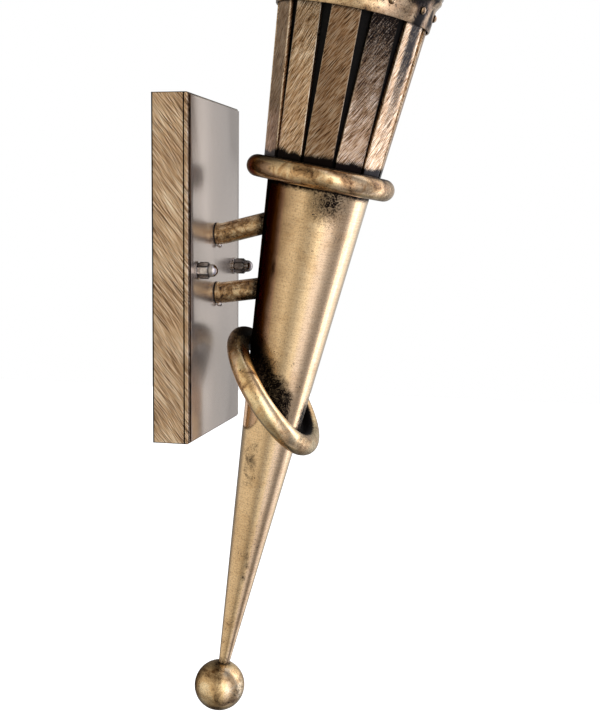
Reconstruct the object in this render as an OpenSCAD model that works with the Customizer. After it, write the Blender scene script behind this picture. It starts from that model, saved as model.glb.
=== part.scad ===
// Torch sconce: a wall box, two tube arms and a tapered torch with a slatted cup and a glass flame.
// Millimetres. The wall is the plane y = 0, the lamp stands out towards -Y and +Z is up.
// The origin is the centre of the wall box's open back.

/* [Wall box] */
// Width of the wall box
box_w = 120; // [112:2:150]
// Height of the wall box
box_h = 235; // [210:5:300]
// Depth of the folded box, without its front plate
box_depth = 26; // [24:1:36]
// Sheet thickness of the wall box
box_wall = 1.5; // [1:0.1:1.8]
// Outer radius of the box's front folds
fold_r = 2; // [1.9:0.1:3]
// Thickness of the front plate
plate_t = 1; // [0.8:0.1:1.5]
// Width of the box's edge that shows round the front plate
plate_inset = 1.8; // [1.5:0.1:4]

/* [Wall fixing] */
// Distance between the two cap nuts
stud_spacing = 90; // [84:2:94]
// Diameter of the studs
stud_d = 6; // [5:0.5:6]
// Height of the crossbar
bar_h = 22; // [18:1:24]
// Thickness of the crossbar
bar_t = 2; // [1.5:0.1:2.5]
// How far the crossbar's ends stand off the wall
bar_joggle = 3.5; // [3.2:0.1:4.5]
// Distance from each stud in to its wall slot
slot_inset = 15; // [14.5:0.5:17]
// Width of the wall slots
slot_w = 5; // [4:0.5:6]
// Length of the wall slots
slot_len = 12; // [9:1:12]
// Diameter of the hole that the mains cable comes through
cable_hole_d = 12; // [10:1:14]
// Width across the flats of the cap nuts and stud nuts
nut_flats = 10; // [9:0.5:11]
// Height of the hexagon of a cap nut
cap_hex_h = 7.5; // [5:0.5:9]

/* [Arms] */
// Outer diameter of the arm tubes
arm_d = 15; // [13:0.5:16]
// Wall of the arm tubes
arm_wall = 1.2; // [1:0.1:1.5]
// Height of the upper arm's foot above the middle of the box
upper_arm_z = 24.5; // [22:0.5:34]
// Depth of the lower arm's foot below the middle of the box
lower_arm_drop = 17.5; // [16:0.5:30]
// Level length of an arm before its bend
arm_level = 4.6; // [4.2:0.2:8]
// Rise of the upper arm after its bend, in degrees
upper_arm_rise = 14; // [6:1:16]
// Rise of the lower arm after its bend, in degrees
lower_arm_rise = 7.8; // [4:0.2:12]
// Diameter of the threaded tubes that fix the arms
nipple_d = 10; // [8:0.5:10.5]

/* [Torch] */
// Lean of the torch away from the wall, in degrees
torch_tilt = 11; // [8:0.5:14]
// Distance from the wall to the torch's axis at the middle of the box
axis_out = 90; // [84:1:110]
// Distance along the axis from that point up to the ring
ring_rise = 65; // [60:1:80]
// Length of the tapered body below the ring
cone_len = 363.6; // [330:5:400]
// Diameter of the tapered body at the ring
cone_mouth_d = 73.6; // [70:1:78]
// Diameter of the tapered body at its point
cone_tip_d = 8; // [7.5:0.5:12]
// Sheet thickness of the tapered body
cone_wall = 1.2; // [1:0.1:1.5]
// Diameter of the ball under the point
ball_d = 37.2; // [30:1:44]

/* [Rings] */
// Diameter of the bar that both rings are bent from
ring_bar_d = 15.2; // [12:0.5:16]
// Distance along the axis from the upper ring down to the middle of the tilted loop
loop_drop = 154; // [140:2:180]

/* [Slatted cup] */
// Width of a slat
slat_w = 19.5; // [16:0.5:19.5]
// Thickness of a slat
slat_t = 2.8; // [2:0.2:3.2]
// Outward lean of the slats from the torch's axis, in degrees
slat_flare = 5.8; // [5:0.2:7]
// Turn of the first slat from the arms' plane, in degrees
slat_phase = 6.4; // [0:0.2:30]
// Height of the slats' tops above the ring
slat_top = 127; // [115:1:140]
// Sheet thickness of the black liner behind the slats
liner_t = 1; // [0.8:0.1:1.2]
// Height of the band round the slats' tops
band_h = 20; // [18:1:26]
// Sheet thickness of the band
band_t = 1.2; // [1:0.1:1.6]
// How far the band stands above the slats
band_over = 2; // [1:0.5:3]
// Diameter of the rolled bead on the band's upper edge
bead_d = 3.6; // [3:0.2:5]
// Diameter of the rivets' heads
rivet_head_d = 5.4; // [5:0.2:7]
// Diameter of the rivets' shanks
rivet_d = 3; // [2.5:0.1:3.5]

/* [Lamp] */
// Height of the holder plate above the ring
holder_rise = 70; // [60:1:80]
// Outer diameter of the lamp holder
holder_d = 40; // [38:1:44]
// Height of the lamp holder
holder_h = 42; // [40:1:42]
// Diameter of the bulb's screw cap
bulb_cap_d = 26.2; // [24:0.2:27]
// Diameter of the bulb's glass
bulb_d = 58; // [45:1:62]
// Length of the bulb
bulb_len = 104; // [95:1:112]

/* [Glass flame] */
// Height of the glass above its flange
flame_h = 165; // [140:5:180]
// Largest diameter of the glass
flame_d = 124; // [118:2:134]
// Wall of the glass
glass_t = 2.6; // [2:0.2:3.2]
// How far the glass neck reaches down into the cup
neck_depth = 20; // [14:1:24]

/* [Hidden] */
$fn = 72;

// Clearances: a seat that only rests, a screw in its thread, and a part that turns in another
seat_gap = 0.3;
thread_gap = 0.05;
turn_gap = 0.35;
over = 1;

// Wall box
front_y = box_depth + plate_t;
box_inner_y = box_depth - box_wall;
stud_x = stud_spacing / 2;
bar_end = 8;
bar_ramp = 2.5;
stud_head_h = 2.2;
stud_head_d = 9;
washer_t = 1.2;
washer_d = 12.5;
stud_nut_h = 4;
dome_d = 8.8;
dome_h = 6;
pass_gap = 0.3;
earth_x = -14;
earth_d = 4;

// Terminal block, above the arms
terminal_h = 18;
terminal_depth = 15;
terminal_gap = 12;
terminal_z = upper_arm_z + arm_d / 2 + terminal_gap + terminal_h / 2;
pole_count = 3;
pole_pitch = 9;
pole_d = 4;

// Arms
foot_proud = 0.35;
foot_lap = 1;
lock_nut_flats = 14;
lock_nut_h = 3;
nipple_bore_d = 7;
nipple_end = 2;
set_screw_d = 3;
set_screw_head_d = 4.4;
set_screw_head_h = 1.95;
wire_hole_d = 8;
arm_length = axis_out - front_y - arm_level;

// Torch body
bar_r = ring_bar_d / 2;
mouth_r = cone_mouth_d / 2;
tip_r = cone_tip_d / 2;
cone_slope = (mouth_r - tip_r) / cone_len;
cone_half_angle = atan(cone_slope);
cone_lip = 6;
ball_r = ball_d / 2;
ball_z = -cone_len - sqrt(ball_r * ball_r - tip_r * tip_r);
finial_d = 4;
finial_depth = 14;
plug_len = 24;

// Both rings are the same. The loop rests on the taper at its wall side and at its front.
ring_r = mouth_r + seat_gap + bar_r;
loop_tilt = acos((cone_r(-loop_drop) + (bar_r + seat_gap) / cos(cone_half_angle)) / ring_r);
loop_shift = cone_slope * ring_r * sin(loop_tilt);

// Slats stand on the ring, outside the liner
slat_count = 12;
flare_slope = tan(slat_flare);
slat_chamfer = 0.4;
slat_foot_r = cone_r(cone_lip) + seat_gap + slat_t;
slat_foot_corner_r = corner_r(slat_foot_r);
slat_foot_z = ring_top(slat_foot_corner_r) + seat_gap;
slat_len = (slat_top - slat_foot_z) / cos(slat_flare);
liner_top = slat_top - 1;

// Band, riveted through every slat into the liner
band_top = slat_top + band_over;
band_low = band_top - band_h;
band_in_top = corner_r(slat_face_r(slat_top)) + seat_gap + band_over * flare_slope;
rivet_z = band_low + band_h / 2;
rivet_head_h = 2;
rivet_tail_d = 4.6;
rivet_tail_h = 1;

// Lamp holder and bulb
plate_thick = 1.5;
holder_foot_z = holder_rise + plate_thick;
holder_nut_flats = 14;
holder_nut_h = 3;
holder_base_h = 12;
shell_t = 0.6;
contact_d = 8;
contact_h = 2.4;
cap_len = 26;
cap_wall = 0.6;
cap_tip_d = 10;
cap_tip_h = 2;
cap_z = holder_foot_z + holder_base_h + contact_h + seat_gap;
bulb_wall = 1;
bulb_neck_r = bulb_cap_d / 2;
bulb_centre_z = cap_z + bulb_len - bulb_d / 2;

// Glass flame: r follows u^rise * (1 - u)^fall, scaled to its largest diameter
flange_z = band_top + bead_d / 2 + seat_gap;
flange_h = 3.4;
flange_out = 0.6;
flange_r = band_in_top + bead_d + flange_out;
neck_gap = 2;
neck_r = liner_in_r(liner_top - neck_depth) - neck_gap;
flame_rise = 0.5;
flame_fall = 0.85;
flame_start = 0.14;
flame_steps = 36;
flame_peak = flame_rise / (flame_rise + flame_fall);
tip_wall = 0.8;

function cone_r(z) = mouth_r + z * cone_slope;
function corner_r(face_r) = sqrt(face_r * face_r + slat_w * slat_w / 4);
function ring_top(r) = r > ring_r ? bar_r : sqrt(bar_r * bar_r - (ring_r - r) * (ring_r - r));
function slat_face_r(z) = slat_foot_r + (z - slat_foot_z) * flare_slope;
function liner_r(z) = slat_face_r(z) - slat_t / cos(slat_flare) - seat_gap;
function liner_in_r(z) = liner_r(z) - liner_t / cos(slat_flare);
function band_in_r(z) = band_in_top - (band_top - z) * flare_slope;
function band_out_r(z) = band_in_r(z) + band_t / cos(slat_flare);
function slat_angle(i) = 180 + slat_phase + i * 360 / slat_count;

function flame_shape(u) = pow(u / flame_peak, flame_rise) * pow((1 - u) / (1 - flame_peak), flame_fall);
function flame_r(u) = flame_d / 2 * flame_shape(u);
function flame_z(u) = flange_z + flange_h + (u - flame_start) / (1 - flame_start) * flame_h;
function flame_u(i) = flame_start + (1 - flame_start) * i / flame_steps;
function flame_wall(i) = let (du = 0.002, u = min(flame_u(i), 1 - 2 * du))
    glass_t * sqrt(1 + pow((flame_r(u + du) - flame_r(u)) / (flame_z(u + du) - flame_z(u)), 2));
flame_outside = [for (i = [0 : flame_steps]) [flame_r(flame_u(i)), flame_z(flame_u(i))]];
flame_inside = [for (i = [0 : flame_steps]) let (r = flame_r(flame_u(i)) - flame_wall(i))
    if (r > tip_wall) [r, flame_z(flame_u(i))]];
inside_top_z = flame_inside[len(flame_inside) - 1][1] + tip_wall;

// ---------------------------------------------------------------- helpers

// A round bar that starts at depth y from the wall and runs outwards
module out_bar(x, z, y, length, r) {
    translate([x, -y, z]) rotate([90, 0, 0]) cylinder(h = length, r = r);
}

// A hexagon nut blank that starts at depth y from the wall and runs outwards
module out_hex(x, z, y, length, flats) {
    translate([x, -y, z]) rotate([90, 0, 0]) cylinder(h = length, d = flats / cos(30), $fn = 6);
}

// Puts a shape in the torch's own frame: +Z along its axis and zero at the upper ring
module on_torch() {
    translate([0, -axis_out, 0]) rotate([torch_tilt, 0, 0]) translate([0, 0, ring_rise]) children();
}

// A conical solid between two heights on the torch's axis
module taper(z_low, r_low, z_high, r_high) {
    translate([0, 0, z_low]) cylinder(h = z_high - z_low, r1 = r_low, r2 = r_high);
}

module disc(z, height, r) {
    translate([0, 0, z]) cylinder(h = height, r = r);
}

// Puts a shape on the outer face of slat i: +X outwards, +Z up the slat from its foot
module on_slat(i) {
    on_torch() rotate([0, 0, slat_angle(i)]) translate([slat_foot_r, 0, slat_foot_z])
        rotate([0, slat_flare, 0]) children();
}

// ---------------------------------------------------------------- wall box

// Depth profile of the folded box: both front corners are folds
module fold_profile(width, depth, r) {
    translate([-width / 2, 0]) square([width, depth - r]);
    translate([-width / 2 + r, 0]) square([width - 2 * r, depth]);
    for (side = [-1, 1]) translate([side * (width / 2 - r), depth - r]) circle(r);
}

module folded_block(width, height, depth, r) {
    mirror([0, 1, 0]) intersection() {
        linear_extrude(height = height, center = true) fold_profile(width, depth, r);
        rotate([0, 90, 0]) linear_extrude(height = width, center = true)
            fold_profile(height, depth, r);
    }
}

// Holes that the box and its plate share: two studs and two arm nipples
module front_holes() {
    for (side = [-1, 1]) out_bar(side * stud_x, 0, 0, front_y + over, stud_d / 2 + pass_gap);
    for (z = [upper_arm_z, -lower_arm_drop]) out_bar(0, z, 0, front_y + over, nipple_d / 2 + thread_gap);
}

module wall_box() {
    color("#a98a5c") difference() {
        folded_block(box_w, box_h, box_depth, fold_r);
        translate([0, over, 0]) folded_block(box_w - 2 * box_wall, box_h - 2 * box_wall,
            box_inner_y + over, fold_r - box_wall);
        front_holes();
    }
}

module front_plate() {
    plate_w = box_w - 2 * plate_inset;
    plate_h = box_h - 2 * plate_inset;
    color("#b0a8a3") difference() {
        translate([0, -box_depth - plate_t / 2, 0]) cube([plate_w, plate_t, plate_h], center = true);
        front_holes();
    }
}

// Crossbar profile seen from above: flat on the wall in the middle, joggled forward at both ends
module bar_profile() {
    ramp_x = stud_x - bar_end;
    end_x = stud_x + bar_end;
    right = [[ramp_x, 0], [ramp_x + bar_ramp, bar_joggle], [end_x, bar_joggle],
        [end_x, bar_joggle + bar_t], [ramp_x + bar_ramp - bar_t / 2, bar_joggle + bar_t],
        [ramp_x - bar_t / 2, bar_t]];
    polygon(concat(right, [for (i = [len(right) - 1 : -1 : 0]) [-right[i][0], right[i][1]]]));
}

module wall_slot(x) {
    for (end = [-1, 1]) out_bar(x + end * (slot_len - slot_w) / 2, 0, -over, bar_t + 2 * over, slot_w / 2);
    translate([x, -bar_t / 2, 0]) cube([slot_len - slot_w, bar_t + 2 * over, slot_w], center = true);
}

module mounting_bracket() {
    color("#c0c2c4") difference() {
        mirror([0, 1, 0]) linear_extrude(height = bar_h, center = true) bar_profile();
        for (side = [-1, 1]) {
            wall_slot(side * (stud_x - slot_inset));
            out_bar(side * stud_x, 0, 0, bar_joggle + bar_t + over, stud_d / 2 + thread_gap);
        }
        out_bar(0, 0, -over, bar_t + 2 * over, cable_hole_d / 2);
        out_bar(earth_x, 0, -over, bar_t + 2 * over, earth_d / 2 + thread_gap);
    }
}

// Studs with a flat head behind the crossbar, long enough to fill the cap nuts
module bracket_studs() {
    tip_y = front_y + washer_t + cap_hex_h;
    color("#c9cbcd") for (side = [-1, 1]) {
        out_bar(side * stud_x, 0, bar_joggle - stud_head_h, stud_head_h, stud_head_d / 2);
        out_bar(side * stud_x, 0, bar_joggle, tip_y - bar_joggle, stud_d / 2);
    }
}

module stud_nuts() {
    nut_y = bar_joggle + bar_t;
    color("#c9cbcd") for (side = [-1, 1]) difference() {
        out_hex(side * stud_x, 0, nut_y, stud_nut_h, nut_flats);
        out_bar(side * stud_x, 0, nut_y - over, stud_nut_h + 2 * over, stud_d / 2 + thread_gap);
    }
}

module nut_washers() {
    color("#bdbfc0") for (side = [-1, 1]) difference() {
        out_bar(side * stud_x, 0, front_y, washer_t, washer_d / 2);
        out_bar(side * stud_x, 0, front_y - over, washer_t + 2 * over, stud_d / 2 + pass_gap);
    }
}

// Cap nuts: hexagon, short neck and dome, with a blind thread
module cap_nuts() {
    hex_y = front_y + washer_t;
    dome_y = hex_y + cap_hex_h;
    blind_len = cap_hex_h + seat_gap;
    color("#d6d6d4") for (side = [-1, 1]) difference() {
        union() {
            out_hex(side * stud_x, 0, hex_y, cap_hex_h, nut_flats);
            out_bar(side * stud_x, 0, dome_y, dome_h - dome_d / 2, dome_d / 2);
            translate([side * stud_x, -dome_y - dome_h + dome_d / 2, 0]) sphere(d = dome_d);
        }
        out_bar(side * stud_x, 0, hex_y - over, blind_len + over, stud_d / 2 + thread_gap);
    }
}

// Slotted earth screw in the crossbar, with its cup washer
module earth_screw() {
    washer_h = 0.8;
    head_h = 2.4;
    head_d = 8;
    color("#b59a55") difference() {
        union() {
            out_bar(earth_x, 0, 0, bar_t, earth_d / 2);
            out_bar(earth_x, 0, bar_t, washer_h, head_d / 2 + over);
            out_bar(earth_x, 0, bar_t + washer_h, head_h, head_d / 2);
        }
        translate([earth_x, -bar_t - washer_h - head_h, 0])
            cube([over, 2 * over, head_d + over], center = true);
    }
}

// Three-pole block on the inside of the box's front, with its wires' entries above and below
module terminal_block() {
    color("#e9e6dc") translate([0, -box_inner_y, terminal_z]) difference() {
        for (pole = [0 : pole_count - 1]) translate([(pole - (pole_count - 1) / 2) * pole_pitch, 0, 0]) {
            translate([-pole_pitch / 2, 0, -terminal_h / 2]) cube([pole_pitch, terminal_depth, terminal_h]);
        }
        for (pole = [0 : pole_count - 1]) translate([(pole - (pole_count - 1) / 2) * pole_pitch, 0, 0]) {
            translate([0, terminal_depth / 2, -terminal_h / 2 - over])
                cylinder(h = terminal_h + 2 * over, d = pole_d);
            for (end = [-1, 1]) translate([0, terminal_depth / 2, end * terminal_h / 4])
                rotate([-90, 0, 0]) cylinder(h = terminal_depth, d = pole_d + 2 * thread_gap);
        }
    }
}

// Two clamp screws to each pole, reached from the open back
module terminal_screws() {
    sunk = 1;
    wire_room = 2;
    slot = [pole_d + over, 1.2, 0.8];
    length = terminal_depth / 2 - sunk - wire_room;
    color("#b59a55") translate([0, -box_inner_y + terminal_depth - length - sunk, terminal_z])
        for (pole = [0 : pole_count - 1], end = [-1, 1])
            translate([(pole - (pole_count - 1) / 2) * pole_pitch, 0, end * terminal_h / 4]) difference() {
                rotate([-90, 0, 0]) cylinder(h = length, d = pole_d);
                translate([0, length, 0]) cube(slot, center = true);
            }
}

// ---------------------------------------------------------------- arms

// The straight length of an arm, from a little behind its knee into the torch
module rising_bar(z, rise, r, back) {
    translate([0, -front_y - arm_level, z]) rotate([90 - rise, 0, 0])
        translate([0, 0, -back]) cylinder(h = arm_length / cos(rise) + back, r = r);
}

// A tube brazed into a level foot. The foot is bored for the nipple and the tube is coped to the torch.
module arm(z, rise) {
    difference() {
        union() {
            out_bar(0, z, front_y, arm_level, arm_d / 2 + foot_proud);
            rising_bar(z, rise, arm_d / 2, foot_lap);
        }
        rising_bar(z, rise, arm_d / 2 - arm_wall, 0);
        out_bar(0, z, front_y - over, arm_level + over + thread_gap, nipple_d / 2 + thread_gap);
        translate([0, -front_y - arm_level / 2, z - arm_d / 2 - over])
            cylinder(h = arm_d / 2, d = set_screw_d + 2 * thread_gap);
        on_torch() taper(-cone_len, tip_r + seat_gap / 2, cone_lip, cone_r(cone_lip) + seat_gap / 2);
    }
}

module upper_arm() {
    color("#a5834f") arm(upper_arm_z, upper_arm_rise);
}

module lower_arm() {
    color("#a5834f") arm(-lower_arm_drop, lower_arm_rise);
}

// Threaded tubes from inside the box to the end of each arm's level part
module arm_nipples() {
    start_y = box_inner_y - lock_nut_h - nipple_end;
    length = front_y + arm_level - start_y;
    color("#c9b27a") for (z = [upper_arm_z, -lower_arm_drop]) difference() {
        out_bar(0, z, start_y, length, nipple_d / 2);
        out_bar(0, z, start_y - over, length + 2 * over, nipple_bore_d / 2);
    }
}

module arm_lock_nuts() {
    color("#c9cbcd") for (z = [upper_arm_z, -lower_arm_drop]) difference() {
        out_hex(0, z, box_inner_y - lock_nut_h, lock_nut_h, lock_nut_flats);
        out_bar(0, z, box_inner_y - lock_nut_h - over, lock_nut_h + 2 * over, nipple_d / 2 + thread_gap);
    }
}

// A round-headed screw under each arm's foot clamps the arm on its nipple. The head stands clear of the foot.
module arm_set_screws() {
    head_z = -arm_d / 2 - foot_proud - seat_gap;
    tip_z = -nipple_d / 2 - thread_gap;
    color("#cfcdc6") for (z = [upper_arm_z, -lower_arm_drop]) translate([0, -front_y - arm_level / 2, z]) {
        intersection() {
            translate([0, 0, head_z - set_screw_head_h + set_screw_head_d / 2]) sphere(d = set_screw_head_d);
            disc(head_z - set_screw_head_d, set_screw_head_d, set_screw_head_d);
        }
        disc(head_z - over, tip_z - head_z + over, set_screw_d / 2);
    }
}

// ---------------------------------------------------------------- torch body

// The rolled taper, open at the mouth, with the wires' hole where the upper arm joins it
module cone_body() {
    wall = cone_wall / cos(cone_half_angle);
    color("#b8935a") difference() {
        on_torch() difference() {
            taper(-cone_len, tip_r, cone_lip, cone_r(cone_lip));
            taper(-cone_len - over, cone_r(-cone_len - over) - wall,
                cone_lip + over, cone_r(cone_lip + over) - wall);
        }
        translate([0, -front_y - arm_level, upper_arm_z]) rotate([90 - upper_arm_rise, 0, 0])
            cylinder(h = arm_length / cos(upper_arm_rise), d = wire_hole_d);
    }
}

// A tapered plug wedged in the point, with a stud below it for the ball
module finial_stud() {
    wall = cone_wall / cos(cone_half_angle) + 2 * thread_gap;
    color("#8c7a58") on_torch() {
        taper(-cone_len, tip_r - wall, -cone_len + plug_len, cone_r(-cone_len + plug_len) - wall);
        disc(-cone_len - finial_depth, finial_depth, finial_d / 2);
    }
}

module ball_finial() {
    color("#b08b52") on_torch() difference() {
        translate([0, 0, ball_z]) sphere(ball_r);
        disc(-cone_len, ball_r, ball_r);
        disc(-cone_len - finial_depth - over, ball_r, finial_d / 2 + thread_gap);
    }
}

module bar_ring() {
    rotate_extrude() translate([ring_r, 0]) circle(bar_r);
}

module upper_ring() {
    color("#a98452") on_torch() bar_ring();
}

module lower_loop() {
    color("#a98452") on_torch() translate([0, loop_shift, -loop_drop]) rotate([loop_tilt, 0, 0]) bar_ring();
}

// ---------------------------------------------------------------- slatted cup

// Black sheet cone that stands on the mouth of the torch, with a hole for every rivet
module cup_liner() {
    color("#15110f") difference() {
        on_torch() difference() {
            taper(cone_lip, liner_r(cone_lip), liner_top, liner_r(liner_top));
            taper(cone_lip - over, liner_in_r(cone_lip - over),
                liner_top + over, liner_in_r(liner_top + over));
        }
        for (i = [0 : slat_count - 1]) rivet_hole(i);
    }
}

// Longer on both sides than the stack of band, slat and liner
module rivet_hole(i) {
    reach = slat_t + liner_t + band_t + bead_d;
    on_slat(i) translate([0, 0, (rivet_z - slat_foot_z) / cos(slat_flare)]) rotate([0, 90, 0])
        disc(-reach, 2 * reach, rivet_d / 2 + thread_gap);
}

// Flat bar with eased edges, from the ring up into the band
module slat(i) {
    c = slat_chamfer;
    half = slat_w / 2;
    color("#a3855c") difference() {
        on_slat(i) linear_extrude(height = slat_len) polygon([[-slat_t, -half + c],
            [-slat_t + c, -half], [-c, -half], [0, -half + c],
            [0, half - c], [-c, half], [-slat_t + c, half], [-slat_t, half - c]]);
        rivet_hole(i);
    }
}

// Conical strip with a rolled bead on its upper edge
module rim_band() {
    bead_r = bead_d / 2;
    color("#b08a58") difference() {
        on_torch() union() {
            difference() {
                taper(band_low, band_out_r(band_low), band_top, band_out_r(band_top));
                taper(band_low - over, band_in_r(band_low - over),
                    band_top + over, band_in_r(band_top + over));
            }
            translate([0, 0, band_top]) rotate_extrude() translate([band_in_top + bead_r, 0]) circle(bead_r);
        }
        for (i = [0 : slat_count - 1]) rivet_hole(i);
    }
}

// Round-headed rivet through band, slat and liner, closed over on the inside
module rivet(i) {
    head_x = (band_out_r(rivet_z) - slat_face_r(rivet_z)) * cos(slat_flare) + thread_gap;
    tail_x = -slat_t - seat_gap - liner_t - 2 * thread_gap;
    head_r = rivet_head_d / 2;
    dome_r = (head_r * head_r + rivet_head_h * rivet_head_h) / (2 * rivet_head_h);
    on_slat(i) translate([0, 0, (rivet_z - slat_foot_z) / cos(slat_flare)]) rotate([0, 90, 0]) {
        intersection() {
            disc(head_x, rivet_head_h + over, head_r + over);
            translate([0, 0, head_x + rivet_head_h - dome_r]) sphere(dome_r);
        }
        disc(tail_x, head_x - tail_x, rivet_d / 2);
        disc(tail_x - rivet_tail_h, rivet_tail_h, rivet_tail_d / 2);
    }
}

module band_rivets() {
    color("#6e5a3c") for (i = [0 : slat_count - 1]) rivet(i);
}

// ---------------------------------------------------------------- lamp

// Disc that wedges in the tapering liner, with six air holes
module holder_plate() {
    air_hole_d = 9;
    air_hole_r = 31;
    color("#2a2725") on_torch() difference() {
        taper(holder_rise, liner_in_r(holder_rise) - seat_gap,
            holder_foot_z, liner_in_r(holder_foot_z) - seat_gap);
        disc(holder_rise - over, plate_thick + 2 * over, nipple_d / 2 + thread_gap);
        for (i = [0 : 5]) rotate([0, 0, i * 60]) translate([air_hole_r, 0, 0])
            disc(holder_rise - over, plate_thick + 2 * over, air_hole_d / 2);
    }
}

module holder_nipple() {
    start_z = holder_rise - holder_nut_h - nipple_end;
    length = holder_foot_z + holder_base_h - contact_h - start_z;
    color("#c9b27a") on_torch() difference() {
        disc(start_z, length, nipple_d / 2);
        disc(start_z - over, length + 2 * over, nipple_bore_d / 2);
    }
}

module nipple_nuts() {
    color("#c9cbcd") on_torch() difference() {
        translate([0, 0, holder_rise - holder_nut_h])
            cylinder(h = holder_nut_h, d = holder_nut_flats / cos(30), $fn = 6);
        disc(holder_rise - holder_nut_h - over, holder_nut_h + 2 * over, nipple_d / 2 + thread_gap);
    }
}

// Moulded holder: a narrower base, a shoulder and a skirt with a rounded lip
module lamp_holder() {
    r = holder_d / 2;
    shoulder = 6;
    lip_r = 1.5;
    cavity_r = bulb_cap_d / 2 + turn_gap + shell_t + thread_gap;
    color("#f0ede4") on_torch() translate([0, 0, holder_foot_z]) difference() {
        rotate_extrude() {
            polygon([[0, 0], [r - shoulder, 0], [r - shoulder, shoulder / 2], [r, shoulder * 1.5],
                [r, holder_h - lip_r], [r - lip_r, holder_h], [0, holder_h]]);
            translate([r - lip_r, holder_h - lip_r]) circle(lip_r);
        }
        disc(holder_base_h, holder_h, cavity_r);
        disc(-over, holder_base_h - contact_h + over + thread_gap, nipple_d / 2 + thread_gap);
    }
}

module holder_shell() {
    shell_in_r = bulb_cap_d / 2 + turn_gap;
    shell_z = holder_foot_z + holder_base_h + contact_h;
    shell_h = cap_len - cap_tip_h;
    color("#c8a552") on_torch() difference() {
        disc(shell_z, shell_h, shell_in_r + shell_t);
        disc(shell_z - over, shell_h + 2 * over, shell_in_r);
    }
}

module holder_contact() {
    color("#c8a552") on_torch() disc(holder_foot_z + holder_base_h, contact_h, contact_d / 2);
}

// Screw cap with its raised centre contact
module bulb_cap() {
    color("#cfcfcb") on_torch() difference() {
        union() {
            disc(cap_z, cap_tip_h, cap_tip_d / 2);
            disc(cap_z + cap_tip_h, cap_len - cap_tip_h, bulb_cap_d / 2);
        }
        disc(cap_z + 2 * cap_tip_h, cap_len, bulb_cap_d / 2 - cap_wall);
    }
}

// Pear-shaped bulb: a round head that runs into a conical neck
module bulb_form(shrink) {
    r = bulb_d / 2;
    lean = 22;
    foot_z = cap_z + cap_len;
    tangent_r = r * cos(lean);
    tangent_z = bulb_centre_z - r * sin(lean);
    translate([0, 0, bulb_centre_z]) sphere(r - shrink);
    taper(foot_z, bulb_neck_r - shrink, tangent_z, tangent_r - shrink / cos(lean));
}

module bulb_glass() {
    color("#f7f4ea") on_torch() difference() {
        bulb_form(0);
        bulb_form(bulb_wall);
        disc(cap_z + cap_len - over, 2 * over, bulb_neck_r - bulb_wall);
    }
}

// Blown glass: a neck inside the cup, a flange on the band's bead and a flame that draws to a point
module glass_shade() {
    low_z = liner_top - neck_depth;
    inside_r = neck_r - glass_t;
    color("#f4efe2", 0.6) on_torch() rotate_extrude() polygon(concat(
        [[inside_r, low_z], [neck_r, low_z], [neck_r, flange_z], [flange_r, flange_z],
            [flange_r, flange_z + flange_h]],
        flame_outside, [[0, inside_top_z]],
        [for (i = [len(flame_inside) - 1 : -1 : 1]) flame_inside[i]],
        [[flame_inside[0][0], flange_z + flange_h], [inside_r, flange_z]]));
}

// ---------------------------------------------------------------- output

wall_box();
front_plate();
mounting_bracket();
bracket_studs();
stud_nuts();
nut_washers();
cap_nuts();
earth_screw();
terminal_block();
terminal_screws();
upper_arm();
lower_arm();
arm_nipples();
arm_lock_nuts();
arm_set_screws();
cone_body();
finial_stud();
ball_finial();
upper_ring();
lower_loop();
cup_liner();
slat(0);  // slat_01
slat(1);  // slat_02
slat(2);  // slat_03
slat(3);  // slat_04
slat(4);  // slat_05
slat(5);  // slat_06
slat(6);  // slat_07
slat(7);  // slat_08
slat(8);  // slat_09
slat(9);  // slat_10
slat(10);  // slat_11
slat(11);  // slat_12
rim_band();
band_rivets();
holder_plate();
holder_nipple();
nipple_nuts();
lamp_holder();
holder_shell();
holder_contact();
bulb_cap();
bulb_glass();
glass_shade();
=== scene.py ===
"""Looks for the torch sconce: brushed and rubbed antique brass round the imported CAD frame.

Sizes are in millimetres, in the CAD frame. Each section is one piece, in the order of assembly.
"""
from math import acos, atan, atan2, cos, degrees, hypot, pi, radians, sin, sqrt, tan

import bmesh
import bpy
from mathutils import Matrix, Vector, noise


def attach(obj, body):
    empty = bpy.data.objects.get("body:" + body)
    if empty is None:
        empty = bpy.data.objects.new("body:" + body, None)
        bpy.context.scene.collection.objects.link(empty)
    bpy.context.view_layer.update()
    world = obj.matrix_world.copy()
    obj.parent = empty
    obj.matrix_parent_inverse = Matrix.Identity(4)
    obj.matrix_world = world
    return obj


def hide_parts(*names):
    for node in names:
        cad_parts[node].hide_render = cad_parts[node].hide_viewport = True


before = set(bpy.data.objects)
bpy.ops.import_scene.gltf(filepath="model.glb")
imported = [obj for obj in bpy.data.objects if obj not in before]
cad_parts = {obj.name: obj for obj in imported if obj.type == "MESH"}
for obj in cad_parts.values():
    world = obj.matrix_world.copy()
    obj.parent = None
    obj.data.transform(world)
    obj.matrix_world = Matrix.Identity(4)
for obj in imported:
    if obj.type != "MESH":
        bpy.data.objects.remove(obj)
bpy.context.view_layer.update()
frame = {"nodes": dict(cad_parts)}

# ---------------------------------------------------------------- viewpoint
# The lamp is seen from its left, nearly side on and from a little above the middle of the wall box.
# The long sides of the photo crop it just above the rim band.
yaw, pitch, roll = 0.2213, -0.1209, 0.0095
camera = bpy.data.objects.new("camera", bpy.data.cameras.new("camera"))
camera.data.sensor_width = 36
camera.data.lens = 57.166
camera.data.clip_start = 0.01
forward = Vector((cos(yaw) * cos(pitch), sin(yaw) * cos(pitch), sin(pitch)))
level = Vector((sin(yaw), -cos(yaw), 0))
upward = level.cross(forward)
right = cos(roll) * level + sin(roll) * upward
upright = -sin(roll) * level + cos(roll) * upward
camera.matrix_world = (Matrix.Translation((-0.7947613, -0.2677321, 0.0325683))
                       @ Matrix((right, upright, -forward)).transposed().to_4x4())
bpy.context.collection.objects.link(camera)
bpy.context.scene.camera = camera

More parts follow.
